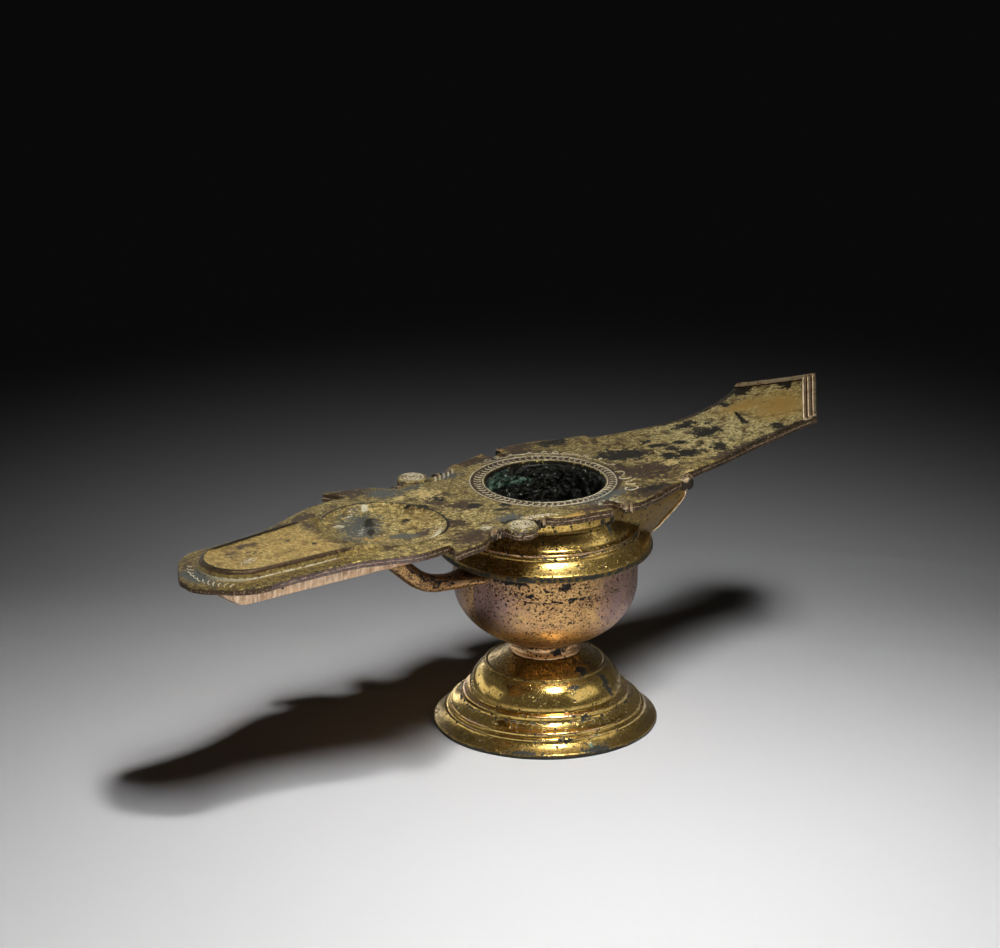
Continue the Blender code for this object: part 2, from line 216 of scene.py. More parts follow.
def top_outline():
    """The plate's edge: smooth stretches between corners, from nozzle tip to handle apex and back."""
    half = np.vstack([
        smooth([(-NOZZLE_TIP, 0), (-135.3, 5), (-132, 10.2), (-127.5, 15.9), (-121, 18.4), (-111, 18.2),
                (-100, 18.7), (-90, 20.3), (-80, 23.7), (-70, 26.7), (-58.6, 26.5)], 0.6, (-135.3, -5)),
        smooth([(-58.9, 27.1), (-59.2, 29.5), (-61.4, 33)], 0.5),
        smooth([(-60.4, 33.4), (-55, 32), (-49, 30.8), (-44.5, 28.4), (-41.3, 24.8)], 0.5),
        scallops((-41, 24.3), (-36.1, 24.1), 4, 0.55),
        arc(KNOB, KNOB_RADIUS, 203, -23, 42),
        scallops((-26.1, 24.9), (-22.4, 24.7), 2, 0.9),
        scallops((-22.2, 24.5), (-20.4, 24.7), 2, 0.3),
        smooth([(-20.2, 25), (-17.5, 27.6), (-13, 29.7), (-6, 30.9), (0.6, 32.6)], 0.5),
        smooth([(0.2, 29.4), (1.6, 26.2), (3.4, 25), (5, 26.2), (5.4, 29)], 0.5),
        smooth([(7.2, 32.4), (12, 32.4), (20, 30.8), (27, 28.2), (35.2, 25.8)], 0.6),
        smooth([(37, 24.4), (36.8, 22.5), (45, 20.6), (57, 18.6), (68, 16.9), (78, 16.6), (88, 17.7),
                HANDLE_CORNER], 0.6),
        straight([HANDLE_CORNER, (HANDLE_APEX, 0)], 0.6)[1:],
    ])
    loop = mirrored(half)
    nibbled = np.maximum(0, waves(np.column_stack([loop, 0 * loop[:, 0]]), 4.5, 8) - 0.1)
    return inset(loop, 0.35 * nibbled[:, None])


def inset(loop, distance):
    """A clockwise loop moved inwards, each corner along its mitre, which is kept short."""
    ahead = np.roll(loop, -1, axis=0) - loop
    ahead /= np.linalg.norm(ahead, axis=1, keepdims=True)
    mitre = ahead + np.roll(ahead, 1, axis=0)
    length = np.maximum((mitre**2).sum(axis=1, keepdims=True), 1.3)
    return loop + distance * 2 / length * np.column_stack([mitre[:, 1], -mitre[:, 0]])


def net(rows, closed=True):
    """Points and quads of a grid of shape (rows, points, 3). A closed grid joins its last column to its first."""
    rows = np.asarray(rows, float)
    index = np.arange(rows.shape[0] * rows.shape[1]).reshape(rows.shape[:2])
    if closed:
        index = np.hstack([index, index[:, :1]])
    quads = np.stack([index[:-1, :-1], index[1:, :-1], index[1:, 1:], index[:-1, 1:]], axis=-1)
    return rows.reshape(-1, 3), quads.reshape(-1, 4)


def fill(loops, spacing, height, hole=None):
    """A net of triangles inside the first loop, with the points of every loop and a grid between them.

    height gives z from x and y. Triangles whose middle satisfies hole are left out.
    """
    edges, border = [], np.vstack(loops)
    start = 0
    for loop in loops:
        number = np.arange(len(loop))
        edges.append(start + np.column_stack([number, np.roll(number, -1)]))
        start += len(loop)
    low, high = border.min(axis=0), border.max(axis=0)
    x, y = np.meshgrid(np.arange(low[0], high[0], spacing), np.arange(low[1], high[1], spacing * 0.866))
    x[1::2] += spacing / 2
    grid = np.column_stack([x.ravel(), y.ravel()])
    clear = [((block[:, None] - border) ** 2).sum(axis=2).min(axis=1) > (0.6 * spacing) ** 2
             for block in np.array_split(grid, 1 + len(grid) // 2000)]
    grid = grid[np.concatenate(clear)]
    flat = np.vstack([border, grid])
    points, _, faces, *_ = delaunay_2d_cdt([Vector(p) for p in flat.tolist()], np.vstack(edges).tolist(), [], 1, 1e-6)
    points, faces = np.array(points), np.array(faces)
    if hole:
        middle = points[faces].mean(axis=1)
        faces = faces[~hole(middle[:, 0], middle[:, 1])]
    return np.column_stack([points, height(points[:, 0], points[:, 1])]), faces


def make_piece(name, parts, node, material, paint=None, sharp=40):
    """One mesh from several nets that share their edges: doubles merged, faces turned outwards, smooth shaded.

    paint gets the points in millimetres and returns the named masks that the material reads.
    """
    points, faces, start = [], [], 0
    for part_points, part_faces in parts:
        points.append(part_points)
        faces.extend((part_faces + start).tolist())
        start += len(part_points)
    mesh = bpy.data.meshes.new(name)
    mesh.from_pydata(np.vstack(points) * MM + (AXIS_X, 0, 0), [], faces)
    bm = bmesh.new()
    bm.from_mesh(mesh)
    bmesh.ops.remove_doubles(bm, verts=bm.verts, dist=0.002 * MM)
    bmesh.ops.dissolve_degenerate(bm, edges=bm.edges, dist=0.0005 * MM)
    bmesh.ops.recalc_face_normals(bm, faces=bm.faces)
    bm.to_mesh(mesh)
    bm.free()
    mesh.shade_smooth()
    mesh.set_sharp_from_angle(angle=math.radians(sharp))
    if paint:
        place = np.zeros(len(mesh.vertices) * 3)
        mesh.vertices.foreach_get("co", place)
        for mask, value in paint((place.reshape(-1, 3) - (AXIS_X, 0, 0)) / MM).items():
            mesh.attributes.new(mask, "FLOAT", "POINT").data.foreach_set("value", value.astype(np.float32))
    mesh.materials.append(material)
    piece = link(bpy.data.objects.new(name, mesh))
    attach(piece, "root")
    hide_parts(node)
    return piece


def add(tree, kind, inputs, **settings):
    """A node. Each of its inputs is given a value, or the socket that feeds it."""
    node = tree.nodes.new(kind)
    for name, value in settings.items():
        setattr(node, name, value)
    for name, value in inputs.items():
        if isinstance(value, bpy.types.NodeSocket):
            tree.links.new(value, node.inputs[name])
        else:
            node.inputs[name].default_value = value
    return node


def start_group(name, inputs):
    """A shader node group with a Vector input, number inputs and one Mask output."""
    tree = bpy.data.node_groups.new(name, "ShaderNodeTree")
    tree.interface.new_socket("Vector", in_out="INPUT", socket_type="NodeSocketVector")
    for title in inputs:
        tree.interface.new_socket(title, in_out="INPUT", socket_type="NodeSocketFloat")
    tree.interface.new_socket("Mask", in_out="OUTPUT", socket_type="NodeSocketFloat")
    return tree, tree.nodes.new("NodeGroupInput").outputs, tree.nodes.new("NodeGroupOutput").inputs["Mask"]


def make_stain_group():
    """Turns a soft amount into patches with ragged edges: where the amount plus fractal noise passes a half."""
    tree, given, mask = start_group("stain", ["Amount", "Scale", "Raggedness", "Softness"])
    noise = add(tree, "ShaderNodeTexNoise",
                {"Vector": given["Vector"], "Scale": given["Scale"], "Detail": 8, "Roughness": 0.7})
    centred = add(tree, "ShaderNodeMath", {0: noise.outputs["Fac"], 1: 0.5}, operation="SUBTRACT")
    total = add(tree, "ShaderNodeMath", {0: centred.outputs[0], 1: given["Raggedness"], 2: given["Amount"]},
                operation="MULTIPLY_ADD")
    low = add(tree, "ShaderNodeMath", {0: 0.5, 1: given["Softness"]}, operation="SUBTRACT")
    high = add(tree, "ShaderNodeMath", {0: 0.5, 1: given["Softness"]}, operation="ADD")
    edge = add(tree, "ShaderNodeMapRange", {0: total.outputs[0], 1: low.outputs[0], 2: high.outputs[0]},
               interpolation_type="SMOOTHSTEP")
    tree.links.new(edge.outputs[0], mask)
    return tree


def make_pitting_group():
    """Small round pits, one in some of the cells of a Voronoi pattern, their outlines a little bent."""
    tree, given, mask = start_group("pitting", ["Amount", "Scale", "Size"])
    bend = add(tree, "ShaderNodeTexNoise", {"Vector": given["Vector"], "Scale": 1500, "Detail": 2})
    place = add(tree, "ShaderNodeVectorMath", {0: bend.outputs["Color"], 1: (0.0004, 0.0004, 0.0004), 2: given["Vector"]},
                operation="MULTIPLY_ADD")
    cells = add(tree, "ShaderNodeTexVoronoi", {"Vector": place.outputs[0], "Scale": given["Scale"]})
    parts = add(tree, "ShaderNodeSeparateColor", {0: cells.outputs["Color"]})
    chosen = add(tree, "ShaderNodeMath", {0: parts.outputs[0], 1: given["Amount"]}, operation="LESS_THAN")
    varied = add(tree, "ShaderNodeMath", {0: parts.outputs[1], 1: given["Size"]}, operation="MULTIPLY")
    core = add(tree, "ShaderNodeMath", {0: varied.outputs[0], 1: 0.6}, operation="MULTIPLY")
    hole = add(tree, "ShaderNodeMapRange", {0: cells.outputs["Distance"], 1: varied.outputs[0], 2: core.outputs[0]})
    both = add(tree, "ShaderNodeMath", {0: hole.outputs[0], 1: chosen.outputs[0]}, operation="MULTIPLY")
    tree.links.new(both.outputs[0], mask)
    return tree


stain_group = make_stain_group()
pitting_group = make_pitting_group()


def layer(color, roughness, metallic, mask=None, amount=0.0, scale=300, ragged=2.5, soft=0.1, pits=None, height=0.0,
          stretch=None):
    """One layer of a bronze finish. mask names a painted attribute, which is added to the even amount.

    pits is the width of a pit as a share of its cell. height lifts or sinks the layer, in tenths of a millimetre.
    """
    return dict(color=color, roughness=roughness, metallic=metallic, mask=mask, amount=amount, scale=scale,
                ragged=ragged, soft=soft, pits=pits, height=height, stretch=stretch)


def make_bronze(name, color, roughness, layers, metallic=1.0, grain=0.1):
    """A metal under layers of wear, tarnish, dirt and painted light and shade, each covering those before it."""
    material = bpy.data.materials.new(name)
    material.use_nodes = True
    tree = material.node_tree
    shader = tree.nodes["Principled BSDF"]
    place = tree.nodes.new("ShaderNodeTexCoord").outputs["Object"]
    fine = add(tree, "ShaderNodeTexNoise", {"Vector": place, "Scale": 2600, "Detail": 3})
    height = add(tree, "ShaderNodeMath", {0: fine.outputs["Fac"], 1: grain}, operation="MULTIPLY").outputs[0]
    color = (*color, 1)
    for one in layers:
        where = place
        if one["stretch"]:
            where = add(tree, "ShaderNodeMapping", {"Vector": place, "Scale": one["stretch"]}).outputs[0]
        amount = one["amount"]
        if one["mask"]:
            painted = tree.nodes.new("ShaderNodeAttribute")
            painted.attribute_name = one["mask"]
            amount = painted.outputs["Fac"]
            if one["amount"]:
                amount = add(tree, "ShaderNodeMath", {0: amount, 1: one["amount"]}, operation="ADD").outputs[0]
        group = tree.nodes.new("ShaderNodeGroup")
        group.node_tree = pitting_group if one["pits"] else stain_group
        tree.links.new(where, group.inputs["Vector"])
        given = {"Amount": amount, "Scale": one["scale"]}
        given |= {"Size": one["pits"]} if one["pits"] else {"Raggedness": one["ragged"], "Softness": one["soft"]}
        for title, value in given.items():
            if isinstance(value, bpy.types.NodeSocket):
                tree.links.new(value, group.inputs[title])
            else:
                group.inputs[title].default_value = value
        mask = group.outputs["Mask"]
        color = add(tree, "ShaderNodeMix", {0: mask, 6: color, 7: (*one["color"], 1)}, data_type="RGBA").outputs[2]
        roughness = add(tree, "ShaderNodeMix", {0: mask, 2: roughness, 3: one["roughness"]}).outputs[0]
        metallic = add(tree, "ShaderNodeMix", {0: mask, 2: metallic, 3: one["metallic"]}).outputs[0]
        if one["height"]:
            height = add(tree, "ShaderNodeMath", {0: mask, 1: one["height"], 2: height}, operation="MULTIPLY_ADD").outputs[0]
    bump = add(tree, "ShaderNodeBump", {"Height": height, "Distance": 0.0001})
    tree.links.new(color, shader.inputs["Base Color"])
    tree.links.new(roughness, shader.inputs["Roughness"])
    tree.links.new(metallic, shader.inputs["Metallic"])
    tree.links.new(bump.outputs[0], shader.inputs["Normal"])
    return material


def ovals(points, spots):
    """A soft mask of several ovals: x, y, half length, half width, turn in degrees. It passes a half at each edge."""
    total = np.zeros(len(points))
    for x, y, length, width, turned in spots:
        angle = math.radians(turned)
        dx, dy = points[:, 0] - x, points[:, 1] - y
        along = (dx * math.cos(angle) + dy * math.sin(angle)) / length
        across = (dy * math.cos(angle) - dx * math.sin(angle)) / width
        total = np.maximum(total, np.exp(-0.7 * (along**2 + across**2)))
    return total


top_brass = make_bronze("top_brass", (0.36, 0.265, 0.09), 0.5, [
    layer((0.74, 0.57, 0.2), 0.55, 0.4, mask="worn", amount=0.38, scale=800, ragged=3, soft=0.12, height=0.6),
    layer((1, 0.87, 0.44), 0.5, 0.3, mask="worn", amount=0.22, scale=1200, ragged=3.2, soft=0.08, height=0.6),
    layer((0.17, 0.115, 0.05), 0.5, 0.7, amount=0.31, scale=300, ragged=3, soft=0.12),
    layer((0.06, 0.042, 0.02), 0.5, 0.7, amount=0.29, scale=900, ragged=3.2, soft=0.1, height=-0.6),
    layer((0.7, 0.42, 0.09), 0.5, 0.4, mask="ochre", scale=900, ragged=2, soft=0.5),
    layer((0.12, 0.072, 0.038), 0.42, 0.8, mask="brown", amount=-0.1, scale=520, ragged=2.6, soft=0.12),
    layer((0.13, 0.14, 0.125), 0.5, 0.4, mask="grey", amount=-0.05, scale=700, ragged=2.8, soft=0.2),
    layer((0.03, 0.025, 0.013), 0.45, 0.7, mask="dark", scale=640, ragged=2.2, soft=0.07, height=-0.8),
    layer((0.92, 0.72, 0.3), 0.4, 0.6, mask="gold", amount=-0.15, scale=700, ragged=3, height=0.6),
    layer((0.85, 0.8, 0.6), 0.45, 0.4, mask="pale", amount=-0.15, scale=1000, ragged=3.2, soft=0.15, height=0.6),
    layer((0.1, 0.065, 0.035), 0.4, 0.8, mask="side", scale=500, ragged=0.6),
    layer((0.19, 0.135, 0.125), 0.38, 0.8, mask="purple", amount=-0.05, scale=600, ragged=1.6, soft=0.3),
    layer((0.5, 0.33, 0.22), 0.4, 0.9, mask="side", amount=-0.74, scale=1300, ragged=3.2, height=0.3),
    layer((0.6, 0.46, 0.32), 0.35, 0.9, mask="line", scale=900, ragged=2.2, height=0.3),
], metallic=0.8, grain=0.4)
worn_brass = make_bronze("worn_brass", (0.95, 0.87, 0.64), 0.35, [
    layer((0.5, 0.38, 0.2), 0.45, 0.7, amount=0.32, scale=900, ragged=3, soft=0.2),
    layer((0.08, 0.055, 0.03), 0.5, 0.4, amount=0.2, scale=1300, ragged=3, height=-0.3),
], metallic=0.6, grain=0.2)
polished_brass = make_bronze("polished_brass", (0.87, 0.61, 0.19), 0.14, [
    layer((0.62, 0.4, 0.1), 0.17, 1, amount=0.44, scale=160, ragged=1.6, soft=0.4),
    layer((0.78, 0.5, 0.32), 0.22, 1, mask="copper", scale=300, ragged=1, soft=0.2),
    layer((0.22, 0.155, 0.04), 0.32, 1, mask="brown", amount=0.14, scale=420, ragged=2.2, soft=0.4),
    layer((0.2, 0.125, 0.035), 0.4, 0.9, mask="brown", amount=0.16, scale=1900, ragged=2.8, soft=0.2),
    layer((0.025, 0.018, 0.012), 0.6, 0.2, amount=0.6, scale=820, pits=0.5, height=-1),
    layer((0.02, 0.02, 0.014), 0.5, 0.2, mask="dark", amount=0.12, scale=600, ragged=2.8, height=0.3),
    layer((0.16, 0.24, 0.17), 0.6, 0.1, mask="green", amount=-0.1, scale=700, ragged=2.4, height=0.4),
], grain=0.05)


def relief(x, y):
    """Shallow dents from casting and long handling."""
    place = np.column_stack([x, y, 0 * x])
    return 0.05 * waves(place, 17, 1) + 0.03 * waves(place, 6, 2)


def top_height(x, y):
    return level(x) + relief(x, y)


def dish_depth(distance):
    """Depth of the dish below its rim plane: steepest at the rim, flat in the middle."""
    return DISH_DEPTH * np.sqrt(1 - np.clip(distance / DISH_RADIUS, 0, 1) ** 4)


def dish_rim(count):
    """Where the dish meets the crowned top. The radius is solved from the height in three steps."""
    angle = np.linspace(0, 2 * np.pi, count, endpoint=False)
    radius = np.full(count, DISH_RADIUS)
    for _ in range(3):
        x, y = DISH_X + radius * np.cos(angle), radius * np.sin(angle)
        drop = PLATE_TOP + DISH_RIM - level(x)
        radius = DISH_RADIUS * (1 - (drop / DISH_DEPTH) ** 2) ** 0.25
    return angle, radius


def dish_loop(angle, radius):
    return np.column_stack([DISH_X + radius * np.cos(angle), radius * np.sin(angle)])


def cut_distance(x, y):
    """How far inside the chisel cut on the handle a point lies: 1 on its middle line, 0 at its edge and beyond."""
    start, end = np.array([82.9, 6.6]), np.array([79.3, -2.9])
    run = (end - start) / np.linalg.norm(end - start)
    along = ((x - start[0]) * run[0] + (y - start[1]) * run[1]) / np.linalg.norm(end - start)
    across = np.abs((y - start[1]) * run[0] - (x - start[0]) * run[1])
    half = 0.35 + 0.85 * np.sqrt(np.clip(along, 0, 1)) * np.sqrt(np.clip((1.04 - along) / 0.12, 0, 1))
    return np.clip(1 - across / half, 0, 1) * ((along > 0) & (along < 1))


def cut_loop(width):
    start, end = np.array([82.9, 6.6]), np.array([79.3, -2.9])
    share = np.linspace(0, 1, 22)[:, None]
    side = np.array([(end - start)[1], -(end - start)[0]]) / np.linalg.norm(end - start)
    half = width * (0.35 + 0.85 * np.sqrt(share)) * np.minimum(1, 8 * (1.03 - share))
    middle = start + share * (end - start)
    return np.vstack([middle + side * half, (middle - side * half)[::-1]])


def make_top_plate():
    outline = top_outline()
    edge = inset(outline, 0.55)
    angle, rim = dish_rim(250)
    hole = arc((0, 0), HOLE_RADIUS + 0.6, 0, 360, 241)[:-1]

    def from_rim(x, y):
        """Distance outwards from the dish's rim."""
        edge_of_dish = np.interp(np.arctan2(y, x - DISH_X) % (2 * np.pi), angle, rim, period=2 * np.pi)
        return np.hypot(x - DISH_X, y) - edge_of_dish

    def lip_height(x, y):
        """The top with a thin raised lip round the dish and the chisel cut on the handle."""
        lip = 0.16 * np.exp(-((from_rim(x, y) - 0.45) / 0.35) ** 2)
        return top_height(x, y) + lip - 0.45 * cut_distance(x, y)

    loops = [edge, hole, *[dish_loop(angle, rim + out) for out in (0, 0.25, 0.5, 0.8, 1.2)], cut_loop(1), cut_loop(0.5)]
    top = fill(loops, 0.85, lip_height, lambda x, y: (np.hypot(x, y) < HOLE_RADIUS + 0.55) | (from_rim(x, y) < -0.03))
    side_rows = []
    for distance, share in ((0.55, 0), (0.3, 0.04), (0.14, 0.11), (0.08, 0.2), (0.08, 0.4), (0, 0.46), (0, 0.52),
                            (0.08, 0.58), (0.08, 0.8), (0.14, 0.9), (0.3, 0.97), (0.6, 1)):
        x, y = inset(outline, distance).T
        z = level(x) + relief(x, y) * (1 - share) - share * thickness(x) if share else lip_height(x, y)
        side_rows.append(np.column_stack([x, y, z]))
    under_hole = arc((0, 0), HOLE_RADIUS, 0, 360, 241)[:-1]
    below = fill([inset(outline, 0.6), under_hole], 2.2, lambda x, y: level(x) - thickness(x),
                 lambda x, y: np.hypot(x, y) < HOLE_RADIUS - 0.05)
    wall_rows = []
    for radius, drop in ((0.6, 0), (0.3, 0.05), (0.1, 0.2), (0, 0.5), (0, 1.7), (0, PLATE_THICK)):
        x, y = arc((0, 0), HOLE_RADIUS + radius, 0, 360, 241)[:-1].T
        z = PLATE_TOP - drop + relief(x, y) * (1 - drop / PLATE_THICK)
        wall_rows.append(np.column_stack([x, y, z]))
    wall_rows[0][:, 2] = lip_height(*wall_rows[0][:, :2].T)
    dish_rows = []
    for share in 1 - np.linspace(0, 1, 60) ** 1.6:
        x, y = dish_loop(angle, rim * share).T
        dents = 0.08 * waves(np.column_stack([x, y, 0 * x]), 11, 3) * (1 - share**6)
        dish_rows.append(np.column_stack([x, y, PLATE_TOP + DISH_RIM - dish_depth(rim * share) + dents]))
    dish_rows[0][:, 2] = lip_height(*dish_rows[0][:, :2].T)
    return [top, net(side_rows), below, net(wall_rows), net(dish_rows)]


def paint_top(points):
    """Where the top is stained, worn or light-coloured, and where light and shade are painted: a painted shadow line
    round the dish's far rim, painted glints near that rim, the lit crescent of the dish's near wall, and painted shade
    on the nozzle's rounded edge. The dish is shallow, so its own spots are in the same lists.
    """
    x, y, z = points.T
    depth = level(x) - z
    middle, edge = np.hypot(x, y), np.hypot(x - DISH_X, y)
    in_dish = edge < DISH_RADIUS - 0.2
    around = np.cos(np.arctan2(y, x - DISH_X) - 0.6)
    # Painted shadow: a dark line round the dish's rim on its far and right sides, the lip's shade on the dish's wall.
    rim_shadow_line = (1 - ramp(np.abs(edge - DISH_RADIUS - 0.25), 0.2, 0.55)) * ramp(around, -0.5, 0.1)
    band = ramp(middle, 19, 19.8) * (1 - ramp(middle, 23.2, 23.8))
    angle = np.degrees(np.arctan2(y, x))
    border = ramp(middle, 24, 24.6) * (1 - ramp(middle, 27.6, 28.6)) * ramp(angle, -30, -10) * (1 - ramp(angle, 96, 106))
    hole_wall = (middle < HOLE_RADIUS + 0.2) & (depth > 0.15)
    side = ramp(depth, 0.2, 0.45) * ~(in_dish & (depth < 2.4)) * ~hole_wall
    margin = np.interp(x, (45, 57, 68, 78, 88, 94.6), (20.6, 18.6, 16.9, 16.6, 17.7, 19.5)) - np.abs(y)
    handle_edge = ramp(x, 50, 62) * (1 - ramp(x, 94, 96)) * (1 - ramp(margin, 1.4, 3.4))
    seam = 1 - ramp(np.abs(depth / thickness(x) - 0.49), 0.03, 0.09)
    lip = ramp(-x, 84, 92) * ~in_dish
    return {
        "dark": np.maximum.reduce([0.85 * ovals(points, [
            (33, 3.5, 9, 5.4, -25), (47, 8, 2.6, 1.8, 0), (48, 3, 4, 2, -20), (50, -2, 3, 2.4, 0), (55, 1, 3, 2, 0),
            (51, -8, 5.5, 3.6, -10), (45, -7, 3.3, 4, 0), (66, 11, 4.6, 3, 0), (67, 2, 6, 4.2, -20), (62, -10, 3, 3.6, 0),
            (84, -13, 2, 3, 0), (93, 15, 4, 3, 0), (84, 13, 1.5, 2.6, 0), (103, 5, 2.4, 3, 0), (60, -4, 1.6, 1.2, 0),
            (72, 7, 1.6, 1.2, 0), (-23, -9, 2, 2.6, 0), (-53, 2, 1.6, 1.1, 0), (-47, 9, 1.5, 1.2, 0),
            (-69, 26.5, 3, 1.2, 10), (22, -26, 5, 2.4, 0), (24, 26, 6, 3, 0), (-31, -21.5, 4, 1.4, 0),
            (-63, 7.5, 2, 4.5, -41), (-67, 1, 1.2, 4, -41),
            (-36, 8, 2.5, 3, 30), (-44, 6, 2, 3, 20), (-31, -4, 3, 2, 0), (-27, -11, 3, 1.6, -30), (0, 24.6, 4, 1.2, 0),
        ]), np.clip(3 * cut_distance(x, y), 0, 1), 0.9 * rim_shadow_line, 0.7 * hole_wall, 0.46 * handle_edge, 0.3 * lip, 0.3 * band,
            # painted shade: the rounded top edge along the nozzle is painted dark, damping the highlight it catches
            0.5 * (1 - ramp(depth, 0.3, 0.5)) * ramp(depth, 0.02, 0.1) * (x < -70) * ~in_dish]),
        "brown": np.maximum(0.9 * ovals(points, [
            (31, -13, 12, 9, -10), (61, -16.5, 10, 3, 5), (12, 29, 7, 5, 0), (-8, 29, 7, 4, 0), (-2, -27.5, 10, 4, 0),
            (21, -27.5, 13, 6.5, -10), (-48, -25, 11, 6.5, 15), (-54, 29, 9, 5, 0), (-64, -15, 13, 3, 8), (-72, -4, 3, 6, 30),
            (40, 1, 4, 3, 0), (-20, 26, 5, 3, 0), (-86, 6, 3, 5, 0), (-33, -1, 6, 4, 0), (-80, 18, 10, 4, 15),
            (-45, -12, 4, 5, 30), (-38, 5, 3, 6, 20),
        ]) * ~in_dish + 0.75 * in_dish * ovals(points, [(-73, -12, 9, 2.6, -52), (-76, -3, 3, 5, 30), (-55, -10, 5, 3, 0)])
            + 1.05 * band + 0.45 * border + 0.45 * lip, 0.85 * handle_edge),
        "grey": 0.95 * ovals(points, [
            (-67.5, 6, 12, 7, 49), (-62, -8, 5, 2.4, -30), (-46, 22, 6, 4.5, -30), (-36, 21, 5, 2, 0),
            (-29, -18.5, 5, 3, 0), (6, -22, 11, 3, 5), (-131, 2, 3.4, 9, 10), (-20, 22, 5, 2, 0), (-39, 35, 3, 4, 0),
        ]),
        "gold": 0.85 * ovals(points, [(41, -11.5, 4, 3, 0), (41, -22, 4.5, 3, 0), (-36, 14, 5, 6, -35), (-56, 15, 3, 1.4, -35),
                                      (-45, 16, 3, 2, 0)]),
        "ochre": 0.95 * ovals(points, [(87, 7, 8, 3.6, -20), (93, -3, 8, 8, 0), (-71, -4, 3, 1.6, -30), (6, 31.3, 8, 1.5, 0),
                                       (-12, 29.5, 5, 1.4, 20), (-8, -28.5, 6, 1.5, 5)])
        + 0.3 * in_dish * ovals(points, [(-52, 0, 9, 9, 0)]),
        # Pale spots, and painted highlights in the dish: glints near its far rim and the lit crescent of its near wall.
        "pale": np.maximum(
            ovals(points, [(-39.5, -21, 2.2, 1.8, 0), (-40, 25, 2, 1.6, 0), (3, -27, 4, 2.6, 0), (-72.4, 9.8, 1.7, 1.3, 0),
                           (-57.5, 16.4, 2, 1, 49)])
            + 0.5 * ovals(points, [(-64, 15.5, 7, 2, 25), (80, -6, 1.5, 1, 0), (-70, 2, 5, 1.5, 49)]),
            ramp(depth, 0.3, 0.5) * in_dish * ovals(points, [(-55, -16.5, 8, 2, 36)])),
        "worn": 0.12 * ovals(points, [(62, 0, 32, 16, 0), (-56, 2, 9, 12, 0), (-35, -8, 8, 6, 0)])
        + 0.16 * ramp(x, 45, 60) - 0.3 * side - 0.12 * lip,
        "side": side,
        "purple": side * ramp(-x, 60, 75) * (1 - ramp(-x, 114, 124)),
        "line": 0.6 * seam * side * ramp(x, -124, -112),
    }


make_piece("top_plate", make_top_plate(), "upper_body", top_brass, paint_top)

# ---------------------------------------------------------------------------------------------------------
# The wick channel: a raised table with a round end, cast on the nozzle. A rounded crest runs round its floor.

TABLE_TIP = -129.5
TABLE_HALF = 12.7
TABLE_FLARE = 0.075
FLOOR_LEVEL = 2.28


def table_ring(tip_inset, side_inset, root_gap):
    """A loop: an arc round the dish, two flared sides and a round tip, clockwise from the middle of the root."""
    radius = TABLE_HALF - side_inset
    center = TABLE_TIP + tip_inset + radius
    tip = arc((center, 0), radius, 98, 180, 28)
    root_radius = DISH_RADIUS + root_gap
    corner_y = radius
    for _ in range(4):
        corner_x = DISH_X - math.sqrt(root_radius**2 - corner_y**2)
        corner_y = radius + TABLE_FLARE * (corner_x - tip[0][0])
    reach = math.degrees(math.asin(corner_y / root_radius))
    root = arc((DISH_X, 0), root_radius, 180, 180 - reach, 30)
    side = np.linspace(root[-1], tip[0], 70)[1:-1]
    return mirrored(np.vstack([root, side, tip])[::-1])


def make_wick_table():
    profile = smooth([(0, 0, -1.5), (0.1, 0.15, 0), (0.3, 0.4, 0.9), (0.9, 0.8, 2.15), (1.8, 1.15, 2.6),
                      (2.6, 1.42, 2.7), (3.2, 1.62, 2.52), (3.5, 1.72, FLOOR_LEVEL + 0.02), (4.1, 1.9, FLOOR_LEVEL)], 0.3)
    rows = []
    for i, (tip_inset, side_inset, height) in enumerate(profile):
        share = i / (len(profile) - 1)
        loop = table_ring(tip_inset, side_inset, 0.25 + 4.5 * share**1.3)
        root_height = -0.4 + (FLOOR_LEVEL + 0.4) * (1 - (1 - share) ** 2.4)
        at_root = ramp(loop[:, 0], -90, -80)
        z = PLATE_TOP + height * (1 - at_root) + root_height * at_root
        rows.append(np.column_stack([loop, z]))
    floor_net = fill([rows[-1][:, :2]], 0.7, lambda x, y: PLATE_TOP + FLOOR_LEVEL + 0 * x)
    bottom = fill([rows[0][:, :2]], 4, lambda x, y: PLATE_TOP - 1.5 + 1.1 * ramp(x, -90, -80))
    return [net(rows), floor_net, bottom]


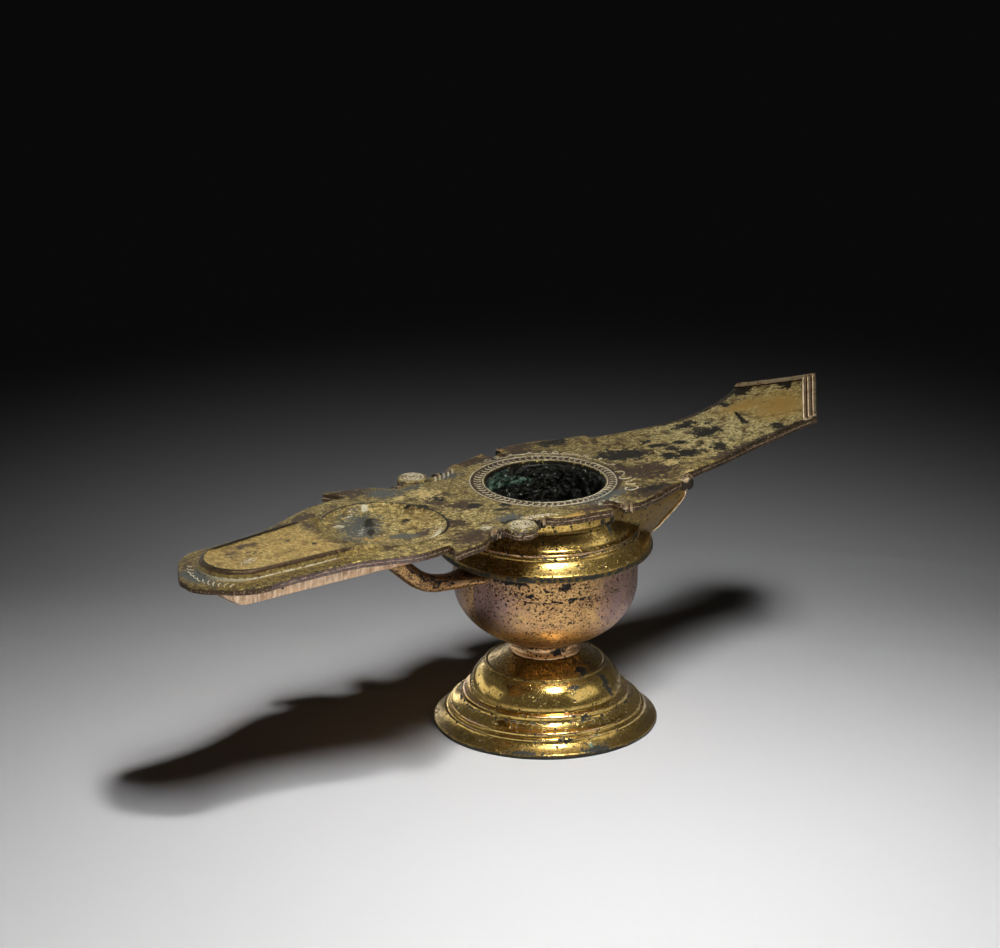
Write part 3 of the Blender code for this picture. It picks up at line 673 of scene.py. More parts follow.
def paint_table(points):
    """A dark crest with a painted shadow line at the floor's edge, a painted highlight along the wall's foot, and
    stains on the floor.
    """
    x, y, z = points.T
    center = TABLE_TIP + TABLE_HALF
    half = TABLE_HALF + TABLE_FLARE * np.maximum(0, x - center)
    inside = np.where(x > center, half - np.abs(y), TABLE_HALF - np.hypot(x - center, y))
    rise = z - PLATE_TOP
    crest = ramp(rise, 1.2, 1.9) * (1 - ramp(inside, 1.7, 1.9)) * ramp(-x, 82, 88)
    # Painted shadow: a black line where the crest's inner wall meets the floor.
    line = ramp(inside, 1.5, 1.66) * (1 - ramp(inside, 1.85, 2.15)) * ramp(-x, 84, 86)
    floor_part = ramp(inside, 2, 2.4) * ramp(-x, 84, 90)
    # Painted highlight: a pale line along the foot of the table's outer wall.
    wall_foot_highlight = 1 - ramp(rise, 0.35, 0.75)
    return {
        "dark": np.maximum(np.maximum(0.4 * crest, 0.95 * line), ovals(points, [
            (-111.8, 2, 1.2, 0.7, 0), (-110.4, 0.6, 1, 0.7, 30), (-109.3, 1.6, 0.9, 0.5, 0), (-109.5, -0.6, 1, 0.6, 0),
            (-92, -4, 1.4, 1, 0), (-97, 3, 0.8, 0.6, 0)]) * 0.8),
        "brown": np.maximum(crest, 0.75 * ovals(points, [(-110, 7, 7, 2.2, 6), (-117, 3, 4, 2.4, 60), (-84, 8, 2.4, 6, 0),
                                                         (-84, -8, 3, 3, 0)])),
        "worn": 0.1 * floor_part - 0.15 * (1 - floor_part),
        "ochre": 0.42 * floor_part,
        "pale": np.maximum(0.86 * wall_foot_highlight, ovals(points, [(-116, -3.5, 4, 2, 20)]) * 0.7),
    }


make_piece("wick_channel", make_wick_table(), "upper_body", top_brass, paint_table)

# ---------------------------------------------------------------------------------------------------------
# The band round the filling hole: two beaded outlines with curved strokes between them, and scrolls beside it.


def sweep(centers, sideways, upwards, shape):
    """Rows of a tube: each closed section is `shape`, a loop of unit offsets, spread along two vectors."""
    across, along = shape.T
    return centers[:, None] + across[None, :, None] * sideways[:, None] + along[None, :, None] * upwards[:, None]


def cord(path, half_width, half_height, up=(0, 0, 1)):
    """A rounded cord along a path, its height towards `up`, narrowing to a point at both ends."""
    path = np.asarray(path, float)
    share = np.linspace(0, 1, len(path))
    taper = np.sqrt(np.clip(np.minimum(share, 1 - share) / 0.15, 0, 1))[:, None]
    ahead = np.gradient(path, axis=0)
    ahead /= np.linalg.norm(ahead, axis=1, keepdims=True)
    sideways = np.cross(ahead, up)
    sideways /= np.linalg.norm(sideways, axis=1, keepdims=True)
    upwards = np.cross(sideways, ahead)
    shape = arc((0, 0), 1, 0, 360, 9)[:-1]
    return net(sweep(path, sideways * half_width * taper, upwards * half_height * taper, shape))


def on_top(path, rise):
    """The path laid on the plate."""
    x, y = np.asarray(path, float).T
    return np.column_stack([x, y, top_height(x, y) + rise])


def ring(center, radius, half_width, half_height):
    """A closed bead round the hole, with small swellings."""
    path = on_top(arc(center, radius, 0, 360, 361)[:-1], 0)
    swelling = 1 + 0.18 * waves(path, 2.5, 7)[:, None]
    outwards = np.column_stack([path[:, 0], path[:, 1], 0 * path[:, 0]]) / radius
    upwards = np.array([0, 0, half_height]) * swelling
    rows = sweep(path, outwards * half_width * swelling, upwards, arc((0, 0), 1, 0, 360, 9)[:-1])
    return net(np.concatenate([rows, rows[:1]]))


def make_ring_band():
    share = np.linspace(0, 1, 15)
    rng = np.random.default_rng(11)
    parts = [ring((-0.6, 0.3), 22.7, 0.23, 0.28), ring((0, 0), 19.3, 0.15, 0.15)]
    for turned in np.linspace(0, 2 * np.pi, 67)[:-1]:
        radius = 19.7 + 2.6 * share
        bulge = (1.1 * np.sin(np.pi * share**0.8) + rng.uniform(-0.15, 0.15)) / radius
        angle = turned + bulge
        path = np.column_stack([radius * np.cos(angle), radius * np.sin(angle)])
        parts.append(cord(on_top(path, 0.02), rng.uniform(0.14, 0.2), 0.24))
    return parts


def make_scrolls():
    """A looping tendril outside the band on the handle side, then two bolder scrolls."""
    share = np.linspace(0, 1, 420)
    angle = np.radians(102 - 112 * share)
    loops = 2 * np.pi * (12 * share + 0.4 * np.sin(11 * share))
    radius = 25.6 + (0.9 + 0.3 * np.sin(17 * share)) * np.cos(loops)
    angle = angle + 1.9 * np.sin(loops) / 26.4 * 0.9
    tendril = np.column_stack([radius * np.cos(angle), radius * np.sin(angle)])
    bold = [
        [(21.4, -7.4), (23.2, -7.8), (23.8, -9.6), (21.4, -11.4), (19.4, -12.4), (19.8, -14), (22.2, -14.2), (23.8, -13)],
        [(24, -15.6), (21.4, -16.4), (18.4, -16.8), (17.8, -18.6), (19.6, -19.4), (20.6, -18.4)],
        [(18.6, -20.2), (18.6, -22.4), (16.2, -23.4), (14.2, -22.4), (14.8, -20.8), (16.4, -21)],
    ]
    share = np.linspace(-0.5, 0.5, 12)
    flutes = [np.column_stack([x + 2.6 * share + 1.2 * (0.25 - share**2), side * (y + 3.4 * share)])
              for side in (-1, 1) for x, y in ((-25.6, 22.6), (-23.8, 22.8), (-21.9, 23), (-19.8, 23.6), (-17.4, 24.6))]
    return [*[cord(on_top(path, 0.02), 0.3, 0.34) for path in flutes], cord(on_top(tendril, 0.02), 0.17, 0.24),
            *[cord(on_top(smooth(path, 0.25), 0.02), 0.24, 0.3) for path in bold]]


make_piece("ring_band", make_ring_band(), "upper_body", worn_brass)
make_piece("scrolls", make_scrolls(), "upper_body", worn_brass)

# ---------------------------------------------------------------------------------------------------------
# The knobs: a disc on each round lug, carved with a spiral, and a curled stroke pattern on the nozzle's tip.


def turn(profile, steps, dents=0.0, seed=0):
    """Rows of a surface of revolution from a profile of radius and height, worn inwards here and there."""
    angle = np.linspace(0, 2 * np.pi, steps, endpoint=False)
    radius, height = np.array(profile, float).T
    rows = np.stack([
        radius[:, None] * np.cos(angle), radius[:, None] * np.sin(angle), np.repeat(height[:, None], steps, axis=1)
    ], axis=-1)
    if dents:
        wear = np.minimum(0, waves(rows.reshape(-1, 3), 9, seed) - 0.4).reshape(rows.shape[:2])
        wear = wear * dents * np.minimum(1, radius / 5)[:, None]
        rows[..., 0] += wear * np.cos(angle)
        rows[..., 1] += wear * np.sin(angle)
    return rows


def disc(center, radius, top, low):
    """A short turned post with a rounded rim."""
    profile = [(0, top), (radius - 0.9, top), (radius - 0.35, top - 0.06), (radius - 0.1, top - 0.2), (radius, top - 0.5),
               (radius, low), (0, low)]
    rows = turn(profile, 64)
    return net(rows + (*center, 0))


def make_spiral(side):
    share = np.linspace(0, 1, 240)
    radius = 0.3 + 3.6 * share
    angle = 2 * np.pi * 3.4 * share * side + 1
    x, y = KNOB[0] + radius * np.cos(angle), side * KNOB[1] + radius * np.sin(angle)
    return cord(np.column_stack([x, y, PLATE_TOP + 0.72 + 0 * x]), 0.3, 0.26)


for side, name in ((-1, "near"), (1, "far")):
    center = (KNOB[0], side * KNOB[1])
    make_piece(f"{name}_knob", [disc(center, 4.65, PLATE_TOP + 0.7, PLATE_TOP - 1.2)], "upper_body",
               top_brass, lambda points: {"grey": 0.5 * (points[:, 2] < PLATE_TOP + 0.4), "pale": 0.42 * (points[:, 2] > PLATE_TOP + 0.4)})
    make_piece(f"{name}_spiral", [make_spiral(side)], "upper_body", worn_brass)


def make_tip_strokes():
    """A fan of short curved strokes on the flat lip round the wick channel's tip."""
    parts = []
    for x, y, length, turned in ((-131.2, -2.2, 3.2, 62), (-131.5, 0, 3.2, 70), (-131.2, 2.2, 3.2, 78),
                                 (-130.8, -4.2, 3.1, 54), (-130.3, -6.1, 3, 47), (-129.6, -7.9, 2.9, 40),
                                 (-128.7, -9.7, 2.8, 33), (-127.6, -11.4, 2.6, 26), (-130.8, 4.2, 3.1, 88),
                                 (-130.1, 6.1, 3, 98), (-129, 7.9, 2.9, 108), (-127.6, 9.6, 2.8, 118)):
        share = np.linspace(-0.5, 0.5, 12)
        angle = math.radians(turned)
        bow = 0.5 * (0.25 - share**2) * 4
        path = np.column_stack([x + length * share * math.cos(angle) - bow * math.sin(angle),
                                y + length * share * math.sin(angle) + bow * math.cos(angle)])
        parts.append(cord(on_top(path, 0.0), 0.2, 0.17))
    return parts


make_piece("tip_strokes", make_tip_strokes(), "upper_body", worn_brass)

# ---------------------------------------------------------------------------------------------------------
# The handle's end: three polished reeds along both edges of its gable, mitred at the apex and the corners.

REED_PITCH = 1.5


def make_reeds():
    """Rows across the reeds, from the near corner round the apex to the far corner, where they are narrower."""
    corner, apex = np.array(HANDLE_CORNER), np.array([HANDLE_APEX, 0])
    edge = (apex - corner) / np.linalg.norm(apex - corner)
    inward = np.array([edge[1], -edge[0]])
    side = np.array([-0.96, -0.28])
    swing = np.radians(np.linspace(180, 0, 11))
    bumps = [np.column_stack([0.9 + reed * REED_PITCH + 0.7 * np.cos(swing), 0.1 + 0.95 * np.sin(swing)]) for reed in range(3)]
    across, height = np.vstack([[(0.15, -1.2)], *bumps, [(4.65, 0.1), (4.65, -1.2)]]).T
    narrow = 0.15 + (across - 0.15) * 0.36
    at_apex = np.linalg.solve([inward, inward * (1, -1)], [narrow, across])
    turned = np.linspace(-0.98, 0.98, 171)
    along = np.abs(turned)[:, None]
    far = turned[:, None] > 0
    at_corner = side[:, None, None] / side.dot(inward) * np.where(far, narrow, across)
    x = along * (corner[0] + at_corner[0]) + (1 - along) * (apex[0] + at_apex[0])
    y = along * (corner[1] + at_corner[1]) * np.where(far, 1, -1) + (1 - along) * at_apex[1]
    wear = 1 - 0.1 * waves(np.stack([x, y, 0 * x], axis=-1).reshape(-1, 3), 5, 12).reshape(x.shape)
    rows = np.stack([x, y, level(x) + height * np.where(height > 0, wear, 1)], axis=-1)
    caps = [np.repeat(rows[i].mean(axis=0)[None, None], rows.shape[1], axis=1) for i in (0, -1)]
    return [net(np.concatenate([caps[0], rows, caps[1]]))]


reed_brass = make_bronze("reed_brass", (1, 0.77, 0.48), 0.28, [
    layer((0.5, 0.25, 0.08), 0.32, 1, amount=0.36, scale=520, ragged=2, soft=0.2),
    layer((0.03, 0.02, 0.012), 0.5, 0.3, mask="dark", amount=0.16, scale=700, ragged=1.4, height=-0.4),
], grain=0.08)


def paint_reeds(points):
    """Darker in the grooves between the reeds."""
    x, y, z = points.T
    return {"dark": 0.7 * (1 - ramp(z - level(x) - 0.1, 0.15, 0.5))}


make_piece("handle_reeds", make_reeds(), "upper_body", reed_brass, paint_reeds)

# ---------------------------------------------------------------------------------------------------------
# The curls: small rolled ends where the lobes beside the handle's root turn back on themselves.


def make_curls(side):
    parts = []
    for x, y, radius, top in ((35.7, 24.8, 1.15, 0.35), (34.3, 26.4, 0.75, 0.2), (36.6, 23, 0.6, 0.15), (6.3, 31.2, 0.9, 0.3),
                              (7.7, 32.2, 0.55, 0.15), (-21.5, 25.6, 0.8, 0.25), (-23.6, 25.6, 0.95, 0.3), (-40.6, 24.5, 0.75, 0.3), (-39, 24.4, 0.7, 0.25),
                              (-37.5, 24.3, 0.65, 0.2), (-36.1, 24.4, 0.6, 0.15))[3 if side > 0 else 0:]:
        parts.append(disc((x, side * y), radius, PLATE_TOP + top, PLATE_TOP - 2.9))
    if side > 0:
        return parts
    share = np.linspace(0, 1, 60)
    angle = np.radians(250 - 330 * share)
    radius = 2.9 - 1.5 * share
    path = np.column_stack([35.6 + radius * np.cos(angle), side * (25 + radius * np.sin(angle)), PLATE_TOP - 2 - 0.3 * side + 0.6 * share])
    return [*parts, cord(path, 0.55, 1.9)]


for side, name in ((-1, "near"), (1, "far")):
    make_piece(f"{name}_curls", make_curls(side), "upper_body", reed_brass,
               lambda points: {"dark": 0.3 + 0.36 * waves(points, 3, 5) + 0.25 * (points[:, 2] < PLATE_TOP - 1)})


# ---------------------------------------------------------------------------------------------------------
# The shoulder: collar, ridges and flange, turned in one with the top.

FLANGE_LEVEL = 57.4
FLANGE_RADIUS = 33.4
COLLAR_RADIUS = 25.0
WALL = 2.2
BOWL_RADIUS = 28.7


def closed_rows(rows):
    """The first row again after the last, for a profile that runs in a loop."""
    return np.concatenate([rows, rows[:1]])


shoulder_profile = np.vstack([
    straight([(COLLAR_RADIUS, PLATE_TOP - 2), (COLLAR_RADIUS, 71.3)], 0.6),
    smooth([(24.9, 70.9), (24.6, 70.4), (24.75, 69.9), (25.1, 69.6)], 0.2),
    smooth([(25.3, 69.2), (26, 68.3), (26.9, 67.1), (27.8, 65.9), (28.5, 65.3)], 0.25),
    smooth([(28.7, 65.2), (29.1, 64.9), (29.15, 64.4), (28.9, 64.1)], 0.15),
    smooth([(28.95, 63.9), (29.25, 63.6), (29.35, 63.1), (29.15, 62.9)], 0.15),
    smooth([(29.4, 62.5), (30.3, 61.6), (31.6, 60.6), (32.6, 59.9), (33.1, 59.5)], 0.25),
    smooth([(33.25, 59.2), (FLANGE_RADIUS, 58.7), (FLANGE_RADIUS, 57.9), (33.1, FLANGE_LEVEL)], 0.2),
    straight([(32.6, FLANGE_LEVEL), (BOWL_RADIUS - WALL, FLANGE_LEVEL)], 0.8),
    straight([(BOWL_RADIUS - WALL, FLANGE_LEVEL + 0.3), (BOWL_RADIUS - WALL, 63.5), (COLLAR_RADIUS - WALL, 69),
              (COLLAR_RADIUS - WALL, 74.2), (19.3, 75.6), (19.3, PLATE_TOP - 2)], 0.9),
])
def paint_shoulder(points):
    """Dirt along the flange and under the ridges, heaviest away from the hands; a drip below the handle's root; and
    painted shade on the cone below the ridges.
    """
    x, y, z = points.T
    radius = np.hypot(x, y)
    angle = np.degrees(np.arctan2(y, x))
    flange = (1 - ramp(np.abs(z - 58.4), 0.4, 1.3)) * ramp(radius, 30, 32)
    groove = 1 - ramp(np.abs(z - 63.9), 0.1, 0.5)
    patchy = 0.5 + 0.5 * waves(points, 14, 21)
    return {
        "dark": np.maximum(0.62 * flange * (0.55 + 0.45 * patchy), 0.4 * groove) + ovals(
            np.column_stack([angle, z]), [(-84, 72.5, 2, 1.6, 0), (-74, 71.2, 2.4, 1, 0), (-78, 69.5, 1.5, 1.8, 0)]),
        "brown": 0.55 * (1 - ramp(z, 70, 72)) * ramp(z, 66, 68) * patchy + 0.5 * flange + 0.5 * (z < 57.6)
        # painted shade: the cone below the ridges is a little browner, damping the overhead lamp's highlight there
        + 0.1 + 0.12 * (z < 63),
        "copper": 0.6 * (1 - ramp(np.abs(z - 64.6), 0.2, 0.8)),
    }


make_piece("shoulder", [net(closed_rows(turn(shoulder_profile, 360, 0.05, 4)))], "upper_body",
           polished_brass, paint_shoulder)

# ---------------------------------------------------------------------------------------------------------
# The bracket: a flare that carries the handle's root, with a beaded rib up each of its outer edges.


def bracket_stations():
    """Height, inner x, half width at the root, reach, and half width at the end."""
    return smooth([(57.8, 4, 27, 32.2, 12.5), (62, 3, 26, 33.5, 15.8), (67, 2, 24, 34.9, 19.8), (72, 2, 23.6, 36, 23.4),
                   (77, 2, 23.4, 36, 24.8)], 0.7)


def make_bracket():
    """Each section runs along the inside of the collar's wall, out along the flare's side, and across its end."""
    rows = []
    for z, inner, half_root, reach, half_end in bracket_stations():
        wall = np.interp(z, (57.8, 63.5, 69, 77), (29, 27.6, 23.9, 23.9))
        inside = arc((0, 0), wall, 0, math.degrees(math.atan2(half_root, inner)) - 2, 40)
        side = smooth([(inner, half_root), ((inner + reach) / 2, (half_root + half_end) / 2 - 1), (reach, half_end)], 0.8)
        side = side[np.linspace(0, len(side) - 1, 40).round().astype(int)]
        end = smooth([(reach, half_end), (reach + 0.9, half_end / 2), (reach + 1.2, 0)], 0.8)
        end = end[np.linspace(0, len(end) - 1, 20).round().astype(int)]
        loop = mirrored(np.vstack([inside, side, end[1:]]))
        rows.append(np.column_stack([loop, np.full(len(loop), z)]))
    low, high = (fill([row[:, :2]], 3, lambda x, y, z=row[0, 2]: z + 0 * x) for row in (rows[0], rows[-1]))
    return [net(rows), low, high]


def make_ribs():
    parts = []
    z, _, _, reach, half_end = bracket_stations().T
    for side in (-1, 1):
        path = smooth(np.column_stack([reach, side * half_end, z])[::3], 0.3)
        bumps = 1 + 0.3 * waves(path, 2.2, 31)[:, None]
        parts.append(cord(path, 0.62 * bumps, 0.5 * bumps, (1, 0, 0)))
    return parts


def paint_bracket(points):
    x, y, z = points.T
    # Brown tarnish, and painted shade under the handle's plate: browner and darker towards the top and outwards under
    # the handle.
    return {"brown": 0.42 + 0.2 * ramp(z, 66, 76) + 0.25 * ramp(x, 18, 30) + 0.08 * waves(points, 12, 33), "dark": 0.2 * ramp(z, 72, 77)}


make_piece("bracket", make_bracket(), "upper_body", polished_brass, paint_bracket)
make_piece("bracket_ribs", make_ribs(), "upper_body", reed_brass)

# ---------------------------------------------------------------------------------------------------------
# The crust: black oil residue on the walls inside, with malachite grown on it.


def make_crust(profile, lump, seed):
    """A closed skin: a lumpy face and a back sunk in the wall."""
    face = turn(profile, 320)
    places = face.reshape(-1, 3)
    push = waves(places, 7, seed) + 0.8 * waves(places, 2.6, seed + 1) + 0.6 * waves(places, 1.2, seed + 2)
    radius = np.array(profile)[:, :1]
    push = push.reshape(face.shape[:2]) * lump * np.minimum(1, radius / 6)
    push[0] *= 0
    face[..., :2] *= (1 - push / np.maximum(radius, 0.1))[..., None]
    back = turn(np.array(profile)[::-1] + (0.8, 0), 320)
    back[:, :, :2] *= np.where(np.array(profile)[::-1, :1] > 0, 1, 0)[..., None]
    return [net(np.concatenate([face, back, face[:1]]))]


crust = make_bronze("crust", (0.01, 0.009, 0.006), 0.35, [
    layer((0.03, 0.03, 0.02), 0.5, 0.1, amount=0.42, scale=500, ragged=2.6, soft=0.2, height=3),
    layer((0.03, 0.085, 0.05), 0.5, 0, mask="green", amount=0.02, scale=420, ragged=3, soft=0.1, height=4),
    layer((0.25, 0.42, 0.3), 0.45, 0, mask="green", amount=-0.16, scale=700, ragged=3.4, height=3),
    layer((0.6, 0.66, 0.58), 0.3, 0, mask="crystal", amount=0.08, scale=800, ragged=3.2, soft=0.06, height=3),
], metallic=0.1, grain=1.5)


def paint_crust(points):
    """Malachite grows thickest towards one side of the neck."""
    angle = np.degrees(np.arctan2(points[:, 1], points[:, 0]))
    spots = np.column_stack([angle, points[:, 2]])
    return {"green": np.maximum(ovals(spots, [(116, 74.5, 20, 2.2, 0), (86, 73, 20, 1.2, 0), (140, 72, 14, 3, 0)]),
                                0.45 * ovals(spots, [(-150, 70, 50, 8, 0)])),
            "crystal": 0.14 * ovals(spots, [(100, 70, 40, 7, 0), (-160, 68, 30, 6, 0)])}


neck_profile = straight([(18.8, 77.7), (18.35, 77.2), (18.3, 75.4), (18.9, 70), (19.3, 65), (21.5, 62.8), (26.2, 61.5),
                         (26.2, 57.7)], 0.4)
make_piece("neck_crust", make_crust(neck_profile, 0.42, 41), "upper_body", crust, paint_crust)


# ---------------------------------------------------------------------------------------------------------
# The bowl: a cup with a concave neck, turned from a coppery casting.

FOOT_TOP = 23.4
BOWL_MIDDLE = 46.5
BOWL_DEPTH = 20.3
STEM_RADIUS = 10.7
JOINT_GAP = 0.3


def bowl_curve(radius, depth, end, count):
    angle = np.linspace(math.pi / 2, end, count)
    return np.column_stack([radius * np.sin(angle), BOWL_MIDDLE - depth * np.cos(angle)])


bowl_profile = np.vstack([
    straight([(BOWL_RADIUS - WALL, FLANGE_LEVEL - JOINT_GAP), (BOWL_RADIUS - 0.3, FLANGE_LEVEL - JOINT_GAP)], 0.5),
    straight([(BOWL_RADIUS - 0.1, FLANGE_LEVEL - 0.6), (BOWL_RADIUS, 52), (BOWL_RADIUS, 46.9)], 0.5),
    bowl_curve(BOWL_RADIUS, BOWL_DEPTH, math.asin(STEM_RADIUS / BOWL_RADIUS), 60),
    smooth([(10.45, 27.2), (10.2, 26.5), (10.25, 25.6), (10.6, 24.8), (11.1, 24.2), (11.2, FOOT_TOP + JOINT_GAP)], 0.25),
    [(6, FOOT_TOP + JOINT_GAP), (0, FOOT_TOP + JOINT_GAP)],
])
bowl_inside = np.vstack([
    [(0, BOWL_MIDDLE - BOWL_DEPTH + WALL)],
    bowl_curve(BOWL_RADIUS - WALL, BOWL_DEPTH - WALL, 0.03, 40)[::-1],
    straight([(BOWL_RADIUS - WALL, 47), (BOWL_RADIUS - WALL, FLANGE_LEVEL - JOINT_GAP)], 1),
])
bowl_copper = make_bronze("bowl_copper", (0.82, 0.52, 0.21), 0.3, [
    layer((0.68, 0.38, 0.15), 0.34, 1, amount=0.4, scale=200, ragged=2, soft=0.4),
    layer((0.42, 0.27, 0.25), 0.36, 1, mask="purple", scale=300, ragged=1.6, soft=0.5),
    # This layer paints light: a reflection on the bowl's side towards the camera, a lighter stem, and the strut's
    # lighter underside.
    layer((0.8, 0.5, 0.26), 0.3, 1, mask="painted_light", scale=500, ragged=1, soft=0.3),
    layer((0.26, 0.14, 0.07), 0.4, 0.9, mask="fine", amount=0.26, scale=1700, ragged=3, soft=0.3, stretch=(1, 1, 1.6)),
    layer((0.1, 0.055, 0.035), 0.5, 0.7, mask="fine", amount=0.12, scale=900, ragged=3.4, stretch=(1, 1, 1.8), height=-0.4),
    layer((0.03, 0.018, 0.012), 0.6, 0.2, mask="pitted", amount=0.5, scale=1300, pits=0.62, height=-1),
    layer((0.015, 0.01, 0.008), 0.6, 0.2, mask="dark", amount=0.02, scale=700, ragged=2.4, height=-0.5),
], grain=0.15)


def paint_bowl(points):
    """Purple tarnish to both sides, dense pits under the flange, a crack, and a row of pits below it; painted light: a
    painted reflection low on the side towards the camera, and a lighter stem in place of the shade it stands in.
    """
    x, y, z = points.T
    angle = np.degrees(np.arctan2(y, x))
    spots = np.column_stack([angle, z])
    wavy = 0.4 * waves(points, 6, 51)
    crack = (1 - ramp(np.abs(z - 49.3 - wavy), 0.05, 0.45)) * (1 - ramp(np.abs(angle + 125), 12, 24))
    outer = np.hypot(x, y) > 27
    return {
        "purple": ovals(spots, [(-170, 47, 22, 9, 0), (-78, 47, 15, 12, 0), (-60, 45, 20, 14, 0), (60, 45, 40, 12, 0), (150, 45, 20, 9, 0)]),
        # painted light: a painted reflection facing the camera and a lighter stem, in place of its shade
        "painted_light": 0.55 * ovals(spots, [(-130, 38, 30, 6, 0)]) + 0.6 * (z < 27),
        "fine": 0.12 * ramp(z, 40, 52) + 0.12 * waves(points * (1, 1, 2), 11, 55),
        "pitted": 0.25 * ramp(z, 46, 54) + 0.2 * ovals(spots, [(-118, 52, 20, 5, 0)]),
        "dark": np.maximum.reduce([
            0.75 * crack, ovals(spots, [(-122, 41.5, 6, 0.8, 0), (-112, 42.2, 4, 0.6, 0), (-130, 40.8, 4, 0.6, 0)]) * 0.5,
            ovals(spots, [(-116, 54, 4, 1.4, 0), (-106, 25.8, 14, 1.3, 0), (-150, 55.4, 14, 1.2, 0)]) * 0.8,
            0.5 * ramp(z, 56.4, 57) * outer, 0.4 * (1 - ramp(np.abs(z - 27), 0.3, 1)),
            ovals(spots, [(-140, 51.5, 10, 1, 0), (-108, 50, 10, 0.7, 0), (-128, 53, 6, 0.6, 0)]) * 0.55,
        ]),
    }


make_piece("bowl", [net(turn(bowl_profile, 360, 0.06, 5)), net(turn(bowl_inside, 360, 0.06, 5))], "bowl",
           bowl_copper, paint_bowl)

lining_profile = np.vstack([
    straight([(26.2, 57), (26.2, 47)], 0.8), bowl_curve(26.2, BOWL_DEPTH - WALL - 0.2, 0.0, 46)[1:],
])
make_piece("bowl_crust", make_crust(lining_profile, 0.3, 44), "bowl", crust, paint_crust)

# ---------------------------------------------------------------------------------------------------------
# The strut: a bent arm cast with the bowl, from its wall up to the bar under the nozzle.


def make_strut():
    stations = smooth([(-64, 70.5, 4.5, 3.4), (-59, 66.2, 3.4, 3.1), (-54.5, 62, 3.1, 2.9), (-50, 58.3, 3, 2.9),
                       (-45, 55.9, 3.1, 2.8), (-39, 54.8, 3.6, 2.5), (-33, 54.5, 5, 2.4), (-26.5, 54.5, 7.2, 2.4)], 0.6)
    x, z, half, thick = stations.T
    slope = np.arctan2(np.gradient(z), np.gradient(x))
    centers = np.column_stack([x, 0 * x, z])
    sideways = np.column_stack([0 * x, half, 0 * x])
    upwards = np.column_stack([-np.sin(slope), 0 * x, np.cos(slope)]) * thick[:, None]
    tube = sweep(centers, sideways, upwards, arc((0, 0), 1, 0, 360, 41)[:-1])
    ends = [np.repeat(tube[i].mean(axis=0)[None], 40, axis=0)[None] for i in (0, -1)]
    return [net(np.concatenate([ends[0], tube, ends[1]]))]


def paint_strut(points):
    """A ragged line of black scale along the strut's upper side, duller metal where the bowl shades it, and a painted
    reflection of the floor as a lighter underside.
    """
    x, y, z = points.T
    middle = np.interp(x, (-64, -59, -54.5, -50, -45, -39, -33, -26), (70.5, 66.2, 62, 58.3, 55.9, 54.8, 54.5, 54.5))
    above = z - middle
    return {
        "purple": 0.5 * ramp(above, -0.5, 1),
        "dark": np.maximum(0.66 * (1 - ramp(np.abs(above - 0.9 - 0.5 * waves(points, 5, 61)), 0.1, 0.8)) * (x < -38),
                           0.45 * (1 - ramp(np.abs(x + 45), 1, 5)) * ramp(-y, 0, 2)),
        # painted reflection: the underside is lighter, as if it mirrored the lit floor
        "painted_light": 0.3 * (1 - ramp(above, -1, 0)),
        "fine": 0.2 + 0 * x,
    }


make_piece("strut", make_strut(), "bowl", bowl_copper, paint_strut)

# ---------------------------------------------------------------------------------------------------------
# The bar under the nozzle: pale copper, filed across, with a rounded bow at its tip.

BAR_BOTTOM = 69.65
BAR_HALF = 12.6
BAR_TIP = -131.5
BAR_ROOT = -57.0


def bar_top(x):
    return level(x) - thickness(x) - JOINT_GAP


def bar_bottom(x):
    """A slight slope upwards from the root, then a bow that rises towards the tip."""
    bow = np.maximum(0, -123 - x) / (-123 - BAR_TIP)
    return np.minimum(BAR_BOTTOM + 0.025 * (BAR_ROOT - x) + 5.5 * bow**2.2, bar_top(x) - 0.4)


def bar_loop(margin):
    half = BAR_HALF - 0.4 * margin
    turn_angle = np.radians(np.linspace(0, 90, 40))
    tip = np.column_stack([BAR_TIP + margin + 8.5 * (1 - np.cos(turn_angle) ** 0.8), half * np.sin(turn_angle) ** 0.8])
    side = np.linspace(tip[-1], (BAR_ROOT, half), 110)[1:]
    root = np.linspace((BAR_ROOT, half), (BAR_ROOT, 0), 16)[1:]
    return mirrored(np.vstack([tip, side, root]))


def make_bar():
    rows = []
    for share, margin in ((1, 0), (0.8, 0.05), (0.45, 0.2), (0.25, 0.45), (0.1, 0.8), (0.03, 1.2), (0, 1.8)):
        x, y = bar_loop(margin).T
        rows.append(np.column_stack([x, y, bar_bottom(x) + share * (bar_top(x) - bar_bottom(x))]))
    lower = fill([rows[-1][:, :2]], 1.5, lambda x, y: bar_bottom(x))
    upper = fill([rows[0][:, :2]], 3, lambda x, y: bar_top(x))
    return [net(rows), lower, upper]


bar_copper = make_bronze("bar_copper", (0.78, 0.53, 0.32), 0.42, [
    layer((0.5, 0.3, 0.17), 0.45, 1, amount=0.46, scale=260, ragged=1.6, soft=0.2),
    layer((0.95, 0.76, 0.56), 0.4, 1, amount=0.42, scale=900, ragged=2, soft=0.2, stretch=(1, 1, 0.12), height=0.5),
    layer((0.3, 0.17, 0.08), 0.5, 0.8, mask="brown", amount=0.1, scale=300, ragged=1.3),
    layer((0.04, 0.025, 0.015), 0.6, 0.2, mask="dark", amount=0.14, scale=420, pits=0.34, height=-1),
], grain=0.15)


def paint_bar(points):
    """Painted shade in brown: a strip just under the plate, and the underside beneath."""
    x, y, z = points.T
    return {"brown": 0.55 * ramp(z - bar_top(x), -1.3, -0.3) + 0.6 * (1 - ramp(z - bar_bottom(x), 0, 0.5)),
            "dark": 0.2 * ramp(-x, 118, 126)}


make_piece("nozzle_bar", make_bar(), "bowl", bar_copper, paint_bar)

# ---------------------------------------------------------------------------------------------------------
# The foot: turned in steps from sheet-like casting, hollow beneath, polished by handling.

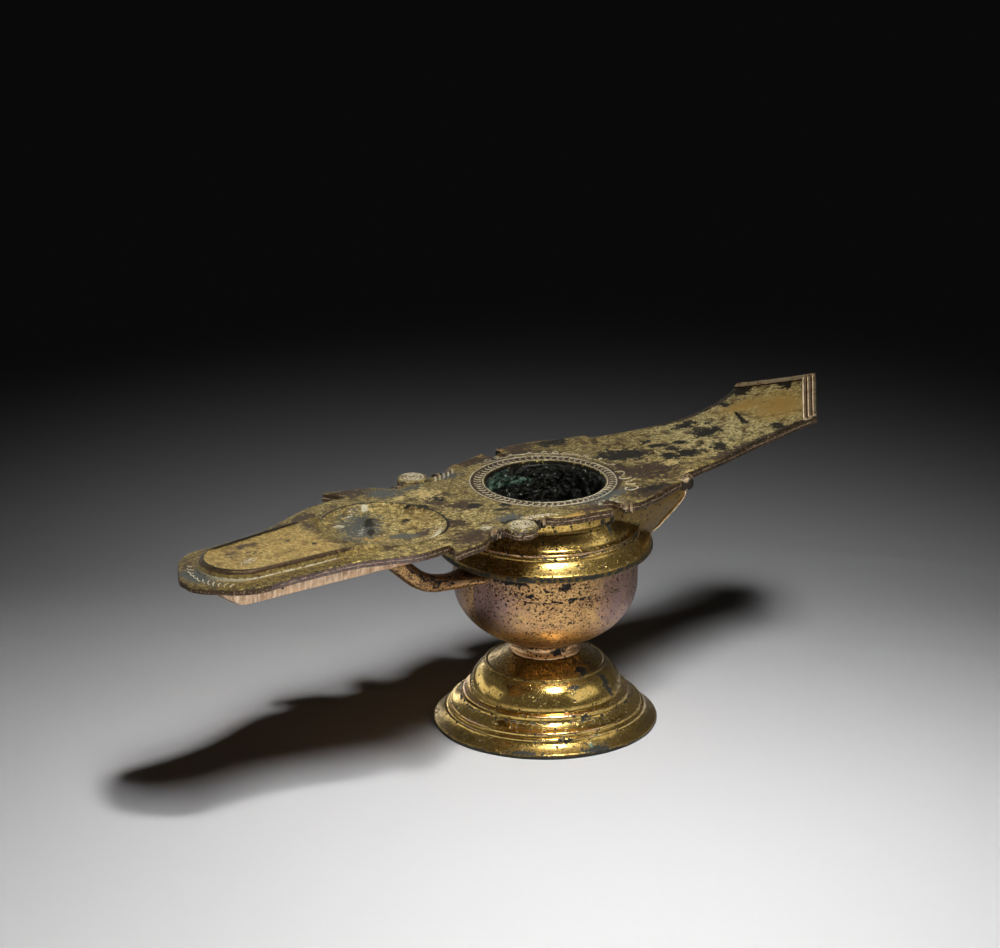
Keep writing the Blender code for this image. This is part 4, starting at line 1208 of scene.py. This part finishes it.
foot_profile = np.vstack([
    [(0, FOOT_TOP), (6, FOOT_TOP)],
    smooth([(11.4, FOOT_TOP), (13.5, 22.3), (16, 20.9), (17.9, 19.85)], 0.3),
    smooth([(18.1, 19.95), (18.6, 20.0), (19.0, 19.65), (19.05, 19.15)], 0.15),
    smooth([(19.3, 18.95), (20.4, 18.05), (21.7, 16.7), (22.8, 15), (23.6, 13), (23.95, 11.3)], 0.3),
    smooth([(24.1, 10.95), (24.8, 10.8), (25.5, 10.65), (25.95, 10.2), (26, 9.7)], 0.15),
    smooth([(26.05, 9.3), (26.35, 8.7), (27.2, 7.95), (28.3, 7.2), (29.1, 6.8)], 0.25),
    smooth([(29.3, 6.8), (29.7, 6.65), (29.95, 6.2), (29.95, 5.75)], 0.15),
    smooth([(30.15, 5.4), (30.6, 5.3), (31, 4.95), (31.1, 4.4)], 0.15),
    smooth([(31.4, 3.9), (32.2, 3.05), (33.2, 2.35), (34.5, 1.6)], 0.25),
    smooth([(34.8, 1.35), (34.95, 0.9), (34.92, 0.4), (34.7, 0)], 0.15),
    straight([(34, 0), (33, 0)], 0.5),
    smooth([(31, 1.4), (27.8, 4.2), (24.4, 8), (21.8, 12), (19.2, 15.4), (15.4, 18.2), (10.7, 20.3), (5, 20.8)], 0.9),
    [(0, 20.8)],
])
def paint_foot(points):
    """Coppery fillets, black scale on the rim and under the ridges, a little verdigris, dull metal beneath."""
    x, y, z = points.T
    angle = np.degrees(np.arctan2(y, x))
    spots = np.column_stack([angle, z])
    radius = np.hypot(x, y)
    beneath = radius < np.interp(z, (0, 1.4, 8, 15.4, 20.8), (34.4, 31.5, 25, 20, 8))
    fillets = np.exp(-((z - 10.6) / 0.5) ** 2) + np.exp(-((z - 6.4) / 0.5) ** 2) + np.exp(-((z - 4.8) / 0.4) ** 2)
    return {
        "copper": 0.7 * np.minimum(1, fillets) * (0.7 + 0.4 * waves(points, 20, 71)),
        "dark": np.maximum.reduce([
            0.75 * (1 - ramp(z, 0.7, 1.3)), 0.45 * np.exp(-((z - 8.6) / 0.4) ** 2),
            ovals(spots, [(-104, 17.6, 4, 0.8, 0), (-88, 20.5, 5, 0.9, 0), (-70, 16, 4, 3, 0), (-118, 4.6, 5, 0.8, 0),
                          (-102, 1.8, 7, 0.8, 0), (-100, 9.6, 4, 0.5, 0), (-140, 1.8, 8, 0.5, 0)]) * 0.8, 0.6 * beneath]),
        "brown": 0.35 * (1 - ramp(z, 2.5, 4.5)) + 0.34 * ramp(z, 16, 20) + 0.25 * ovals(spots, [(-60, 12, 28, 9, 0)]) + 0.7 * beneath,
        "green": ovals(spots, [(-103, 2.8, 4, 0.8, 0), (-98, 5, 3, 0.7, 0)]) * 0.62,
    }


make_piece("foot", [net(turn(foot_profile, 360, 0.05, 6))], "foot", polished_brass, paint_foot)
